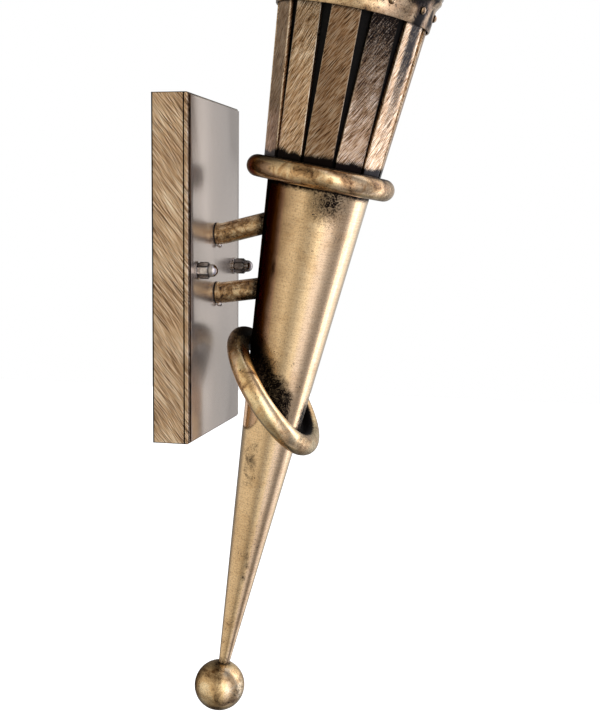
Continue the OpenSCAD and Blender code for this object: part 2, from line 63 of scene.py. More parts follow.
# ---------------------------------------------------------------- wall box
# A tray of 1.5 mm brass-plated sheet, folded over at the front and open at the back. Its sides are
# scratch-brushed on the slant, stained dark and rubbed back, so the grain is light over brown.
box_w, box_h, box_depth, box_wall = 120, 235, 26, 1.5
fold_r, corner_ease, edge_ease = 2, 0.5, 0.2
stud_x = 45
stud_hole_r, arm_hole_r = 3.3, 5.1
arm_heights = {"upper_arm": 24.5, "lower_arm": -17.5}
fold_seam = (22.0, 22.8)
# Cut lines for the box's dark marks: black edges, the seam behind the fold and painted shade at the front.
soot_and_shade_lines_y, soot_and_shade_lines_z = (0.7, 1.8, 21.6, *fold_seam, 23.2, 24.6, 25.0), (116.8, 115.9, -115.9, -116.8)


def linear(colour):
    """The linear value of an sRGB hex colour."""
    channels = [int(colour[i:i + 2], 16) / 255 for i in (1, 3, 5)]
    return [c / 12.92 if c <= 0.04045 else ((c + 0.055) / 1.055) ** 2.4 for c in channels] + [1]


def feed(tree, socket, value):
    """Links a node, or one of its outputs, to a socket, or sets the socket's own value."""
    if isinstance(value, bpy.types.Node):
        value = value.outputs[0]
    if isinstance(value, bpy.types.NodeSocket):
        tree.links.new(value, socket)
    else:
        socket.default_value = value


def add_node(tree, kind, *values, **named):
    """A node with its inputs, in order or by name. A name with a small first letter is a setting's."""
    node = tree.nodes.new(kind if kind.startswith(("Geometry", "NodeGroup")) else "ShaderNode" + kind)
    for name in [name for name in named if name[0].islower()]:
        setattr(node, name, named.pop(name))
    for key, value in enumerate(values):
        feed(tree, node.inputs[key], value)
    for name, value in named.items():
        feed(tree, node.inputs[name.replace("_", " ")], value)
    return node


def new_material(name):
    material = bpy.data.materials.new(name)
    material.use_nodes = True
    material.node_tree.nodes.clear()
    return material, material.node_tree


def finish(material, height=None, bump_mm=0.05, strength=1.0, **values):
    """Gives a material its shader, with these values, and a relief from a height."""
    tree = material.node_tree
    shader = add_node(tree, "BsdfPrincipled", **values)
    if height is not None:
        bump = add_node(tree, "Bump", Height=height, Distance=bump_mm / 1000, Strength=strength)
        feed(tree, shader.inputs["Normal"], bump)
    add_node(tree, "OutputMaterial", Surface=shader)
    return material


def colour_ramp(tree, factor, stops):
    """Colours by position along a factor; a stop's colour is sRGB hex, a linear triple or a grey."""
    ramp = add_node(tree, "ValToRGB", factor)
    elements = ramp.color_ramp.elements
    while len(elements) < len(stops):
        elements.new(0.5)
    for element, (element.position, colour) in zip(elements, stops):
        if isinstance(colour, str):
            element.color = linear(colour)
        else:
            element.color = (*colour, 1) if isinstance(colour, tuple) else (colour, colour, colour, 1)
    return ramp


def mixed(tree, blend, factor, one, two):
    """A colour mixed with or multiplied by another, by the share that the factor gives."""
    node = add_node(tree, "Mix", factor, data_type="RGBA", blend_type=blend)
    for socket, colour in zip([s for s in node.inputs if s.type == "RGBA"], (one, two)):
        feed(tree, socket, colour)
    return next(s for s in node.outputs if s.type == "RGBA")


def brushed_brass(name, slant, grain_mm, stroke_mm, coat):
    """Brass sheet brushed with coarse wire at a slant, stained and rubbed back: brown in the scratches,
    pale on the ridges. Scratches of 0.3 mm are drawn 0.8 mm wide, on a sheet UV in millimetres. A painted
    shade layer darkens a piece's tone. A thin lacquer adds a softer second shine, except under the black
    marks and painted shade, which are black and broken up by the scratches."""
    material, tree = new_material(name)
    sheet = add_node(tree, "UVMap", uv_map="sheet")
    order, painted_shade, soot_and_shade = [add_node(tree, "Attribute", attribute_name=layer).outputs["Fac"]
                          for layer in ("order", "painted_shade", "soot_and_shade")]
    own = {"noise_dimensions": "4D", "W": order}
    drift = add_node(tree, "TexNoise", Vector=sheet, Scale=0.035, Detail=1.0, **own)
    wander = add_node(tree, "VectorMath", drift.outputs["Color"], (2.5, 2.5, 0), sheet,
                      operation="MULTIPLY_ADD")
    strokes = []
    for turn, across, along, detail in ((slant, 1 / grain_mm, 1 / stroke_mm, 2.0),
                                        (slant + radians(11), 0.6 / grain_mm, 1.7 / stroke_mm, 3.0)):
        lie = add_node(tree, "Mapping", vector_type="POINT", Vector=wander, Rotation=(0, 0, turn))
        squeeze = add_node(tree, "VectorMath", lie, (across, along, 1), operation="MULTIPLY")
        strokes.append(add_node(tree, "TexNoise", Vector=squeeze, Scale=1.0, Detail=detail, Roughness=0.62,
                                **own))
    main_strokes = add_node(tree, "Math", strokes[0], 0.62, operation="MULTIPLY")
    grain = add_node(tree, "Math", strokes[1], 0.38, main_strokes, operation="MULTIPLY_ADD")
    colour = colour_ramp(tree, grain, [(0.405, "#3c281b"), (0.445, "#876340"), (0.49, "#cba67c"),
                                       (0.53, "#efd3ac"), (0.58, "#fff3dc")])
    # Painted shade: this layer darkens the tone, slat by slat.
    colour = mixed(tree, "MULTIPLY", painted_shade, colour, linear("#8a6c52"))
    cloud = add_node(tree, "TexNoise", Vector=sheet, Scale=0.045, Detail=3.0, Roughness=0.6, **own)
    shade = colour_ramp(tree, cloud, [(0.3, "#b8a593"), (0.5, "#e6d9cb"), (0.68, "#ffffff")])
    colour = mixed(tree, "MULTIPLY", 0.6, colour, shade)
    pepper = add_node(tree, "TexNoise", Vector=sheet, Scale=0.9, Detail=3.0, Roughness=0.75, **own)
    # Black marks and painted shade go black here, broken up by the scratches.
    streaky = add_node(tree, "Math", strokes[0], -0.6, soot_and_shade, operation="MULTIPLY_ADD")
    ragged = add_node(tree, "Math", pepper, -0.7, streaky, operation="MULTIPLY_ADD")
    black = colour_ramp(tree, ragged, [(0.0, 0.0), (0.12, 0.4), (0.36, 1.0)])
    return finish(material, grain, 0.12, 0.8, Base_Color=mixed(tree, "MIX", black, colour, linear("#15100e")),
                  Metallic=1.0, Roughness=colour_ramp(tree, grain, [(0.4, 0.46), (0.58, 0.3)]),
                  Coat_Weight=colour_ramp(tree, ragged, [(0.0, coat), (0.36, 0.0)]), Coat_Roughness=0.3)


def to_object(name, bm, materials, smooth=35):
    """A finished mesh at the origin, in metres, with its normals outwards and edges sharp over an angle."""
    bmesh.ops.remove_doubles(bm, verts=bm.verts, dist=0.0005)
    bmesh.ops.recalc_face_normals(bm, faces=bm.faces)
    bmesh.ops.scale(bm, vec=(0.001,) * 3, verts=bm.verts)
    mesh = bpy.data.meshes.new(name)
    bm.to_mesh(mesh)
    bm.free()
    for material in materials:
        mesh.materials.append(material)
    mesh.polygons.foreach_set("use_smooth", [True] * len(mesh.polygons))
    mesh.set_sharp_from_angle(angle=radians(smooth))
    piece = bpy.data.objects.new(name, mesh)
    bpy.context.collection.objects.link(piece)
    return piece


def settle(piece, body, slot, *nodes):
    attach(piece, body)
    if nodes:
        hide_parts(*nodes)


def baked(piece):
    """Makes a piece's modifiers part of its own mesh."""
    piece.data = bpy.data.meshes.new_from_object(piece.evaluated_get(bpy.context.evaluated_depsgraph_get()))
    piece.modifiers.clear()


def cut_holes(piece, holes):
    """Drills round holes along Y through the front of the box; a hole is its x, z and radius."""
    drill = bmesh.new()
    drill_len, drill_y = 9, -box_depth + 1.5
    for x, z, r in holes:
        bmesh.ops.create_cone(drill, cap_ends=True, segments=48, radius1=r, radius2=r, depth=drill_len,
                              matrix=Matrix.Translation((x, drill_y, z)) @ Matrix.Rotation(pi / 2, 4, "X"))
    cutter = to_object("drill", drill, [])
    cut = piece.modifiers.new("drilled", "BOOLEAN")
    cut.operation, cut.solver, cut.object = "DIFFERENCE", "EXACT", cutter
    baked(piece)
    bpy.data.objects.remove(cutter)


def sheet_uv(mesh, lay):
    """Writes the sheet UV: a function gives each face corner its place on the flat sheet, in mm."""
    layer = mesh.uv_layers.get("sheet") or mesh.uv_layers.new(name="sheet")
    for face in mesh.polygons:
        for corner in face.loop_indices:
            point = mesh.vertices[mesh.loops[corner].vertex_index].co * 1000
            layer.data[corner].uv = lay(point, face.normal)


def lay_on_box(point, normal):
    """Each side of the box at a place of its own on the sheet, so that no pattern runs on round a corner."""
    if abs(normal.x) > 0.6:
        return (-point.y if normal.x < 0 else point.y + 400, point.z)
    if abs(normal.z) > 0.6:
        return (point.x + 700, -point.y)
    return (point.x + 1000, point.z)


def marked(piece, kind, amount):
    """Writes a layer of dark marks and painted shade on a piece: a function gives it, 0 to 1, for a point in
    mm.
    """
    layer = piece.data.attributes.new(kind, "FLOAT", "POINT")
    layer.data.foreach_set("value", [amount(v.co * 1000) for v in piece.data.vertices])


def box_soot_and_shade(point):
    """Black along the back, the top and the bottom edge and in the seam behind the fold, and painted shade
    along the front, in the gap against the plate.
    """
    seam = fold_seam[0] - 0.05 < -point.y < fold_seam[1] + 0.05
    return max(1.1 * (point.y > -0.9), 1.1 * (abs(point.z) > 116.9), 0.9 * (point.y < -24.9), 1.15 * seam)


tray = bmesh.new()
bmesh.ops.create_cube(tray, size=1)
for vert in tray.verts:
    vert.co = Vector((vert.co.x * box_w, (vert.co.y - 0.5) * box_depth, vert.co.z * box_h))
bmesh.ops.delete(tray, geom=[face for face in tray.faces if face.normal.y > 0.9], context="FACES_ONLY")
front_edges = [e for e in tray.edges if all(v.co.y < -box_depth / 2 for v in e.verts)]
bmesh.ops.bevel(tray, geom=front_edges, offset=fold_r, segments=5, affect="EDGES", profile=0.5)
corner_edges = [e for e in tray.edges if e.calc_length() > box_depth / 2
                and abs((e.verts[0].co - e.verts[1].co).normalized().y) > 0.9]
bmesh.ops.bevel(tray, geom=corner_edges, offset=corner_ease, segments=2, affect="EDGES", profile=0.5)
wall_box = to_object("brushed_wall_box", tray, [], 50)
thick = wall_box.modifiers.new("sheet metal", "SOLIDIFY")
thick.thickness, thick.offset, thick.use_even_offset = box_wall / 1000, -1, True
eased = wall_box.modifiers.new("eased", "BEVEL")
eased.width, eased.segments, eased.limit_method, eased.angle_limit = edge_ease / 1000, 2, "ANGLE", radians(60)
baked(wall_box)
front_holes = [(side * stud_x, 0, stud_hole_r) for side in (-1, 1)]
front_holes += [(0, z, arm_hole_r) for z in arm_heights.values()]
cut_holes(wall_box, front_holes)
wall_box.data.materials.clear()
wall_box.data.materials.append(brushed_brass("brushed_antique_brass_sheet", radians(-40), 0.42, 42, 0.7))
rim = bmesh.new()
rim.from_mesh(wall_box.data)
for point, normal in ([((0, -y, 0), (0, 1, 0)) for y in soot_and_shade_lines_y]
                      + [((0, 0, z), (0, 0, 1)) for z in soot_and_shade_lines_z]):
    bmesh.ops.bisect_plane(rim, geom=rim.verts[:] + rim.edges[:] + rim.faces[:],
                           plane_co=Vector(point) / 1000, plane_no=normal)
rim.to_mesh(wall_box.data)
rim.free()
sheet_uv(wall_box.data, lay_on_box)
wall_box.data.set_sharp_from_angle(angle=radians(50))
marked(wall_box, "soot_and_shade", box_soot_and_shade)
settle(wall_box, "lamp", "brushed_antique_brass", "wall_box")

# ---------------------------------------------------------------- front plate
# A 1 mm plate of satin nickel, laid on the box's front and held by the studs and the arms. It is smooth
# enough to show the arms and nuts in it at a low angle. Its cut edge is painted dark as a painted shadow in
# the gap.
plate_t, plate_inset, plate_gap, plate_ease = 1, 1.8, 0.02, 0.25
front_y = box_depth + plate_t


def clouded(name, per_metre, detail, tones, bump_mm=0.0, **values):
    """A plain finish: its tone drifts in a cloud of so many changes to the metre, its relief too."""
    material, tree = new_material(name)
    here = add_node(tree, "TexCoord").outputs["Object"]
    cloud = add_node(tree, "TexNoise", Vector=here, Scale=per_metre, Detail=detail)
    return finish(material, cloud if bump_mm else None, bump_mm,
                  Base_Color=colour_ramp(tree, cloud, tones), **values)


def satin_nickel():
    """Nickel-plated sheet: a soft mirror for what stands close, with faint upright bands from rolling."""
    material, tree = new_material("satin_nickel_plate")
    stretch = add_node(tree, "VectorMath", add_node(tree, "TexCoord").outputs["Object"], (30, 30, 12),
                       operation="MULTIPLY")
    bands = add_node(tree, "TexNoise", Vector=stretch, Scale=1.0, Detail=2.0)
    return finish(material, Base_Color=colour_ramp(tree, bands, [(0.3, "#c1b4a9"), (0.7, "#c8bbb0")]),
                  Metallic=0.8, Roughness=colour_ramp(tree, bands, [(0.3, 0.25), (0.7, 0.22)]))


plate = bmesh.new()
bmesh.ops.create_cube(plate, size=1)
plate_size = Vector((box_w - 2 * plate_inset, plate_t - plate_gap, box_h - 2 * plate_inset))
for vert in plate.verts:
    vert.co = vert.co * plate_size + Vector((0, plate_size.y / 2 - front_y, 0))
bmesh.ops.bevel(plate, geom=plate.edges[:], offset=plate_ease, segments=2, affect="EDGES", profile=0.5)
# Painted shadow: the plate's cut edge is dark, for the shadow in the gap round it.
plate_gap_shadow = clouded("plate_edge_painted_shadow", 90.0, 3.0, [(0.4, "#1d120c"), (0.62, "#5b4432")],
                     Metallic=1.0, Roughness=0.5)
front_plate = to_object("nickel_front_plate", plate, [satin_nickel(), plate_gap_shadow], 50)
cut_holes(front_plate, front_holes)
for face in front_plate.data.polygons:
    face.material_index = 0 if abs(face.normal.y) > 0.8 else 1
front_plate.data.set_sharp_from_angle(angle=radians(50))
settle(front_plate, "lamp", "satin_nickel", "front_plate")

# ---------------------------------------------------------------- crossbar and its hardware
# A zinc-plated steel bar with joggled ends, screwed to the wall; two M6 studs in its ends carry the box.
# Zinc plate is pale grey with a faint blue and yellow cast, and dull in patches.


def plated_steel(name, light, dark, shine):
    """Electroplated steel: a fine cloudy cast over a satin metal, with pits of about half a millimetre. A
    layer of painted shade makes it nearly black where a piece marks shade and dark reflections on it."""
    material, tree = new_material(name)
    here = add_node(tree, "TexCoord").outputs["Object"]
    cloud = add_node(tree, "TexNoise", Vector=here, Scale=160.0, Detail=4.0, Roughness=0.65)
    pits = add_node(tree, "TexNoise", Vector=here, Scale=1900.0, Detail=1.0)
    soot_and_shade = add_node(tree, "Attribute", attribute_name="soot_and_shade").outputs["Fac"]
    colour = colour_ramp(tree, cloud, [(0.35, dark), (0.65, light)])
    return finish(material, pits, 0.012, Base_Color=mixed(tree, "MIX", soot_and_shade, colour, linear("#17100d")),
                  Metallic=1.0, Roughness=colour_ramp(tree, cloud, [(0.35, shine + 0.12), (0.65, shine)]))


def turned_brass():
    """Free-cutting brass as it leaves the lathe: yellow, with tool rings about 0.4 mm apart."""
    material, tree = new_material("turned_brass")
    here = add_node(tree, "TexCoord").outputs["Object"]
    tool_rings = add_node(tree, "TexWave", bands_direction="Y", wave_profile="SAW", Vector=here, Scale=380.0,
                          Distortion=0.6, Detail=1.0).outputs["Fac"]
    cloud = add_node(tree, "TexNoise", Vector=here, Scale=120.0, Detail=3.0)
    return finish(material, tool_rings, 0.02, Metallic=1.0, Roughness=0.3,
                  Base_Color=colour_ramp(tree, cloud, [(0.35, "#a98645"), (0.65, "#d6b26a")]))


zinc = plated_steel("zinc_plated_steel", "#c8ccd0", "#9fa3a3", 0.32)
brass = turned_brass()
nodes = frame["nodes"]


def dress(node, material):
    """A CAD node whose shape is right as it is, given its material."""
    nodes[node].data.materials.clear()
    nodes[node].data.materials.append(material)


for name in ("mounting_bracket", "bracket_studs"):
    dress(name, zinc)
dress("earth_screw", brass)

# ---------------------------------------------------------------- nuts and washers
# Pressed M6 nuts, 10 mm across the flats, with corners turned off to a cone. Those in front are cap nuts in
# polished nickel on plain washers: they hold the box and its plate to the studs.
flats, cap_hex_h, cap_dome_z, cap_dome_r = 10, 7.5, 9.1, 4.4
corner_r, face_r, corner_cut = flats / 2 / cos(pi / 6), 4.9, 0.9
thread_r, thread_mouth_r, thread_step = 3.05, 3.4, 0.4
washer_t, washer_in_r, washer_out_r = 1.2, 3.3, 6.25


def walled(bm, rings, closed=False):
    """Faces between each ring of points and the next; a ring of one point is a pole."""
    for one, two in list(zip(rings, rings[1:])) + ([(rings[-1], rings[0])] if closed else []):
        count = max(len(one), len(two))
        for i in range(count):
            j = (i + 1) % count
            corners = list(dict.fromkeys((one[i % len(one)], one[j % len(one)], two[j % len(two)],
                                          two[i % len(two)])))
            if len(corners) > 2:
                bm.faces.new(corners)


def turned(profile, place, segments=72, across_flats=None, closed=True, bm=None):
    """A turned shape from (radius, height) points round the Z axis of a place; flats cut it to a hexagon."""
    bm = bm or bmesh.new()
    rings = []
    for r, z in profile:
        rings.append([])
        for angle in [2 * pi * i / segments for i in range(1 if r < 1e-6 else segments)]:
            off_flat = (angle + pi / 6) % (pi / 3) - pi / 6
            reach = min(r, across_flats / 2 / cos(off_flat)) if across_flats else r
            rings[-1].append(bm.verts.new(place @ Vector((reach * cos(angle), reach * sin(angle), z))))
    walled(bm, rings, closed)
    return bm


def outwards(x, y, z):
    """A place on the front of the lamp, with its Z axis out towards the room."""
    return Matrix.Translation((x, -y, z)) @ Matrix.Rotation(pi / 2, 4, "X")


def rounded(points, radius, steps=4):
    """The points of an open profile, with each inner corner rounded off."""
    out = [points[0]]
    for before, corner, after in zip(points, points[1:], points[2:]):
        a, b, c = Vector(before), Vector(corner), Vector(after)
        cut = min(radius, (a - b).length / 2.2, (c - b).length / 2.2)
        start, end = b + (a - b).normalized() * cut, b + (c - b).normalized() * cut
        for i in range(steps + 1):
            t = i / steps
            out.append(tuple(start * (1 - t) ** 2 + b * 2 * t * (1 - t) + end * t ** 2))
    return out + [points[-1]]


polished_nickel = plated_steel("polished_nickel", "#e6dcd4", "#a89e96", 0.1)
caps, washers = bmesh.new(), bmesh.new()
for side in (-1, 1):
    cap_dome = [(cap_dome_r * cos(i * pi / 16), cap_dome_z + cap_dome_r * sin(i * pi / 16)) for i in range(8)]
    turned([(0, thread_step), (thread_r, thread_step), (thread_mouth_r, 0), (face_r, 0),
            (corner_r, corner_cut), (corner_r, cap_hex_h - corner_cut), (face_r, cap_hex_h),
            (cap_dome_r, cap_hex_h)] + cap_dome
           + [(0, cap_dome_z + cap_dome_r)], outwards(side * stud_x, front_y + washer_t, 0), 72, flats, False,
           caps)
    washer_line = [(washer_in_r, washer_t / 2), (washer_in_r, 0), (washer_out_r, 0), (washer_out_r, washer_t),
                   (washer_in_r, washer_t), (washer_in_r, washer_t / 2)]
    turned(rounded(washer_line, 0.25, 3), outwards(side * stud_x, front_y, 0), 64, None, False, washers)


def cap_painted_shade(point):
    """Painted shade and painted dark reflections along the hexagon's corners and ends, and thinly over the
    far nut.
    """
    r, out = hypot(abs(point.x) - stud_x, point.z), -point.y - front_y - washer_t
    corners, ends = out < cap_hex_h and r > 5.5, r > 4.3 and (out < 0.1 or abs(out - cap_hex_h) < 0.4)
    return max(0.9 * corners, 0.8 * ends, 0.62 * (point.x > 0))


cap_nuts = to_object("nickel_cap_nuts", caps, [polished_nickel], 30)
marked(cap_nuts, "soot_and_shade", cap_painted_shade)
settle(cap_nuts, "lamp", "nickel", "cap_nuts")
settle(to_object("nickel_washers", washers, [polished_nickel], 30), "lamp", "nickel", "nut_washers")


def plain_nuts(name, places, height, across, bore, node):
    """Zinc-plated hexagon nuts, with the corners and the mouths of the thread cut back."""
    nuts = bmesh.new()
    for place in places:
        out_r, in_r, mouth = across / 2 / cos(pi / 6), across / 2 - 0.1, bore + 0.4
        turned([(bore, 0.5), (mouth, 0), (in_r, 0), (out_r, 0.6), (out_r, height - 0.6), (in_r, height),
                (mouth, height), (bore, height - 0.5)], place, 72, across, True, nuts)
    settle(to_object(name, nuts, [zinc], 30), "lamp", "zinc_steel", node)


stud_nut_y, stud_nut_h = 5.5, 4
lock_nut_h, lock_nut_flats, arm_thread_r = 3, 14, 5.05
plain_nuts("zinc_stud_nuts", [outwards(side * stud_x, stud_nut_y, 0) for side in (-1, 1)], stud_nut_h, flats,
           thread_r, "stud_nuts")
lock_nut_y = box_depth - box_wall - lock_nut_h
plain_nuts("zinc_lock_nuts", [outwards(0, lock_nut_y, z) for z in arm_heights.values()],
           lock_nut_h, lock_nut_flats, arm_thread_r, "arm_lock_nuts")

# ---------------------------------------------------------------- terminal block
# A three-pole block of white polyamide on the inside of the box's front, moulded with a slight grain,
# with a pair of brass clamp screws to each pole.
dress("terminal_block", clouded("white_polyamide", 1400.0, 2.0, [(0.3, "#dedad0"), (0.7, "#ebe8df")], 0.02,
                                Roughness=0.45, IOR=1.53))
dress("terminal_screws", brass)

# ---------------------------------------------------------------- arms
# Two lengths of 15 mm brass tube, bent up a little in front of the plate and coped to the torch. Each is
# brazed into a short foot. The brass is stained dark and rubbed back, with painted shadow at both ends.
lean = radians(11)
axis_out, ring_rise = 90, 65
torch = (Matrix.Translation((0, -axis_out, 0)) @ Matrix.Rotation(lean, 4, "X")
         @ Matrix.Translation((0, 0, ring_rise)))
torch_inside = torch.inverted()
cone_len, mouth_r, tip_r = 363.6, 36.8, 4.0
cone_slope = (mouth_r - tip_r) / cone_len
arm_r, arm_wall, arm_level, arm_bend = 7.5, 1.2, 4.6, 20
arm_rises = {"upper_arm": radians(14), "lower_arm": radians(7.8)}
foot_proud, foot_h, braze_gap = 0.35, 2.0, 0.15


def cone_r(z):
    return mouth_r + z * cone_slope


def rubbed_brass(name, tones, cloud_mm, cloud_low, speck, shine, coat=0.7, brush=None, bump_mm=0.05):
    """Brass stained brown and rubbed back by hand: clouded, with dark specks of about a millimetre and fine
    scratches. A black layer holds dark smudges and painted shade in corners, where pieces meet and on sides
    turned from the light, and a brown painted shade darkens the sides towards the wall and dims their
    reflection. Both are matt. Over the rest a thin lacquer adds a second, softer shine."""
    material, tree = new_material(name)
    here = add_node(tree, "TexCoord").outputs["Object"]
    painted_shade, soot_and_shade = [add_node(tree, "Attribute", attribute_name=layer).outputs["Fac"]
                   for layer in ("painted_shade", "soot_and_shade")]
    cloud = add_node(tree, "TexNoise", Vector=here, Scale=1000 / cloud_mm, Detail=5.0, Roughness=0.62,
                     Distortion=0.6)
    colour = colour_ramp(tree, cloud, list(zip((cloud_low - 0.08, cloud_low + 0.05, cloud_low + 0.2), tones)))
    fine = add_node(tree, "TexNoise", Vector=here, Scale=900.0, Detail=3.0, Roughness=0.7)
    mottle = colour_ramp(tree, fine, [(0.35, 0.55), (0.5, 0.95), (0.65, 1.0)])
    colour = mixed(tree, "MULTIPLY", 0.75, colour, mottle)
    specks = add_node(tree, "TexNoise", Vector=here, Scale=420.0, Detail=4.0, Roughness=0.8, Distortion=1.4)
    worn = add_node(tree, "Math", cloud, -0.35, specks, operation="MULTIPLY_ADD")
    dots = colour_ramp(tree, worn, [(speck - 0.17, 0.0), (speck - 0.11, 1.0)])
    colour = mixed(tree, "MIX", dots, colour, linear("#2a1c12"))
    height = fine
    if brush:
        sheet = add_node(tree, "UVMap", uv_map="sheet")
        squeeze = add_node(tree, "VectorMath", sheet, brush, operation="MULTIPLY")
        height = add_node(tree, "TexNoise", Vector=squeeze, Scale=1.0, Detail=3.0, Roughness=0.6)
        streak = colour_ramp(tree, height, [(0.32, "#9a8062"), (0.46, "#eadac4"), (0.6, "#ffffff")])
        colour = mixed(tree, "MULTIPLY", 0.26, colour, streak)
    # Painted shade: this layer turns the tone brown on the sides towards the wall.
    colour = mixed(tree, "MULTIPLY", painted_shade, colour, linear("#614631"))
    # Dark smudges and painted shade go black, broken up by the specks.
    ragged = add_node(tree, "Math", specks, -1.2, soot_and_shade, operation="MULTIPLY_ADD")
    black = colour_ramp(tree, ragged, [(0.0, 0.0), (0.15, 0.4), (0.42, 1.0)])
    rough = colour_ramp(tree, cloud, [(cloud_low - 0.1, shine + 0.15), (cloud_low + 0.2, shine)])
    lacquer = colour_ramp(tree, ragged, [(0.0, coat), (0.42, 0.0)])
    # Under the brown painted shade the reflection is tinted dark and the lacquer is taken off: a painted dark
    # reflection.
    return finish(material, height, bump_mm, Base_Color=mixed(tree, "MIX", black, colour, linear("#140e0b")),
                  Metallic=1.0, Roughness=mixed(tree, "MIX", black, rough, (0.6, 0.6, 0.6, 1)),
                  Specular_Tint=mixed(tree, "MIX", painted_shade, (1, 1, 1, 1), (0.15, 0.1, 0.06, 1)),
                  Coat_Weight=mixed(tree, "MIX", painted_shade, lacquer, (0, 0, 0, 1)), Coat_Roughness=0.15)


def fade(distance, reach):
    return max(0.0, min(1.0, 1 - distance / reach))


def round_torch(point):
    """A point in the torch's own frame, its distance from the axis, and its angle round it in degrees."""
    local = torch_inside @ point
    return local, hypot(local.x, local.y), degrees(atan2(local.y, local.x)) % 360


def to_taper(point, along, gap):
    """How far a point has to go along a direction to come within a gap of the torch body."""
    local, turn = torch_inside @ point, torch_inside.to_3x3() @ along
    low, high = 0.0, 90.0
    for _ in range(40):
        middle = (low + high) / 2
        spot = local + turn * middle
        if hypot(spot.x, spot.y) > cone_r(spot.z) + gap and middle < 60:
            low = middle
        else:
            high = middle
    return low


def arm_path(z, rise):
    """Centres and directions along an arm: level, round the bend, then straight."""
    cut = arm_bend * tan(rise / 2)
    path = [(Vector((0, -front_y - s, z)), 0.0) for s in (0.0, 1.0, arm_level - cut)]
    centre = Vector((0, -front_y - arm_level + cut, z + arm_bend))
    for i in range(1, 9):
        turn = rise * i / 8
        path.append((centre + Vector((0, -arm_bend * sin(turn), -arm_bend * cos(turn))), turn))
    return path


def arm_tube(z, rise):
    """The tube along an arm's path, with its far end coped to the taper."""
    bm = bmesh.new()
    around, rows = 64, 24
    far = Vector((0, -cos(rise), sin(rise)))
    shells = []
    for r in (arm_r, arm_r - arm_wall):
        shell = []
        for centre, turn in arm_path(z, rise):
            across, up = Vector((r, 0, 0)), Vector((0, r * sin(turn), r * cos(turn)))
            shell.append([bm.verts.new(centre + across * cos(a) + up * sin(a))
                          for a in [2 * pi * i / around for i in range(around)]])
        last = [v.co.copy() for v in shell[-1]]
        reach = [to_taper(p, far, braze_gap) for p in last]
        shell += [[bm.verts.new(p + far * t * k / rows) for p, t in zip(last, reach)]
                  for k in range(1, rows + 1)]
        walled(bm, shell)
        shells.append(shell)
    for end in (0, -1):
        walled(bm, [shells[0][end], shells[1][end]])
    return bm


def arm_painted_shadow(point):
    """Painted shadow: black at the foot of an arm, and where it meets the torch."""
    local, r, _ = round_torch(point)
    return max(1.25 * fade(abs(point.y + front_y) - 0.3, 1.6), 0.95 * fade(r - cone_r(local.z) - 2, 11.0))


arm_brass = rubbed_brass("rubbed_brass_arms", ("#5c4026", "#c79d68", "#f9dcab"), 5, 0.42, 0.57, 0.22)
foot_line = [(arm_r + 0.02, foot_h), (arm_r + foot_proud, foot_h - 0.2), (arm_r + foot_proud, 0),
             (arm_r - arm_wall, 0)]
for name, z in arm_heights.items():
    tube = arm_tube(z, arm_rises[name])
    turned(rounded(foot_line, 0.2, 2), outwards(0, front_y, z), 64, None, True, tube)
    arm = to_object("brass_" + name, tube, [arm_brass], 40)
    marked(arm, "soot_and_shade", arm_painted_shadow)
    settle(arm, "lamp", "antique_brass", name)
dress("arm_nipples", brass)

# ---------------------------------------------------------------- set screws
# A small round-headed nickel screw under the foot of each arm pins it on its threaded tube.
screws = bmesh.new()
screw_head_r, screw_head_h, screw_r, screw_end = 2.2, 1.95, 1.5, -5.2
screw_flat = -arm_r - foot_proud - 0.3
for z in arm_heights.values():
    screw_dome = [(screw_head_r * cos(i * pi / 16), screw_flat - screw_head_h * sin(i * pi / 16))
                  for i in range(8)]
    turned([(0, screw_end), (screw_r, screw_end), (screw_r, screw_flat)] + screw_dome
           + [(0, screw_flat - screw_head_h)], Matrix.Translation((0, -front_y - arm_level / 2, z)), 32, None,
           False, screws)
settle(to_object("arm_set_screw_pair", screws, [polished_nickel], 40), "lamp", "nickel", "arm_set_screws")

# ---------------------------------------------------------------- torch body
# A cone rolled from 1.2 mm brass sheet, brazed along the wall side and spun smooth. It is rubbed round and
# round with fine wire, so the scratches lie level. Painted shade darkens it under the ring, at the arms and
# on the wall side, and a painted reflection of the loop lies round the loop.
cone_wall, cone_lip = 1.2, 6
ring_bar_r, seat_gap, loop_drop = 7.6, 0.3, 154
ring_r = mouth_r + seat_gap + ring_bar_r
half_angle = atan(cone_slope)
loop_tilt = acos((cone_r(-loop_drop) + (ring_bar_r + seat_gap) / cos(half_angle)) / ring_r)
loop_shift = cone_slope * ring_r * sin(loop_tilt)
loop = torch @ Matrix.Translation((0, loop_shift, -loop_drop)) @ Matrix.Rotation(loop_tilt, 4, "X")
loop_inside = loop.inverted()
arm_ends = (Vector((0, -60, 32)), Vector((0, -56, -13)))


def turned_uv(piece, circumference):
    """Sheet UV of a turned torch piece: round it in mm at a fixed circumference, and up its axis."""

    def lay(point, normal):
        local = torch_inside @ point
        return ((atan2(local.y, local.x) / (2 * pi)) % 1 * circumference, local.z)

    sheet_uv(piece.data, lay)
    layer = piece.data.uv_layers["sheet"]
    for face in piece.data.polygons:
        us = [layer.data[c].uv.x for c in face.loop_indices]
        if max(us) - min(us) > circumference / 2:
            for c in face.loop_indices:
                if layer.data[c].uv.x < circumference / 2:
                    layer.data[c].uv.x += circumference


def on_loop(point):
    """Distance from a point to the tilted loop's bar."""
    local = loop_inside @ point
    return hypot(hypot(local.x, local.y) - ring_r, local.z) - ring_bar_r


def off_wall_side(angle):
    """How far an angle round the torch is from the side that faces the wall, in degrees."""
    return abs((angle + 90) % 360 - 180)


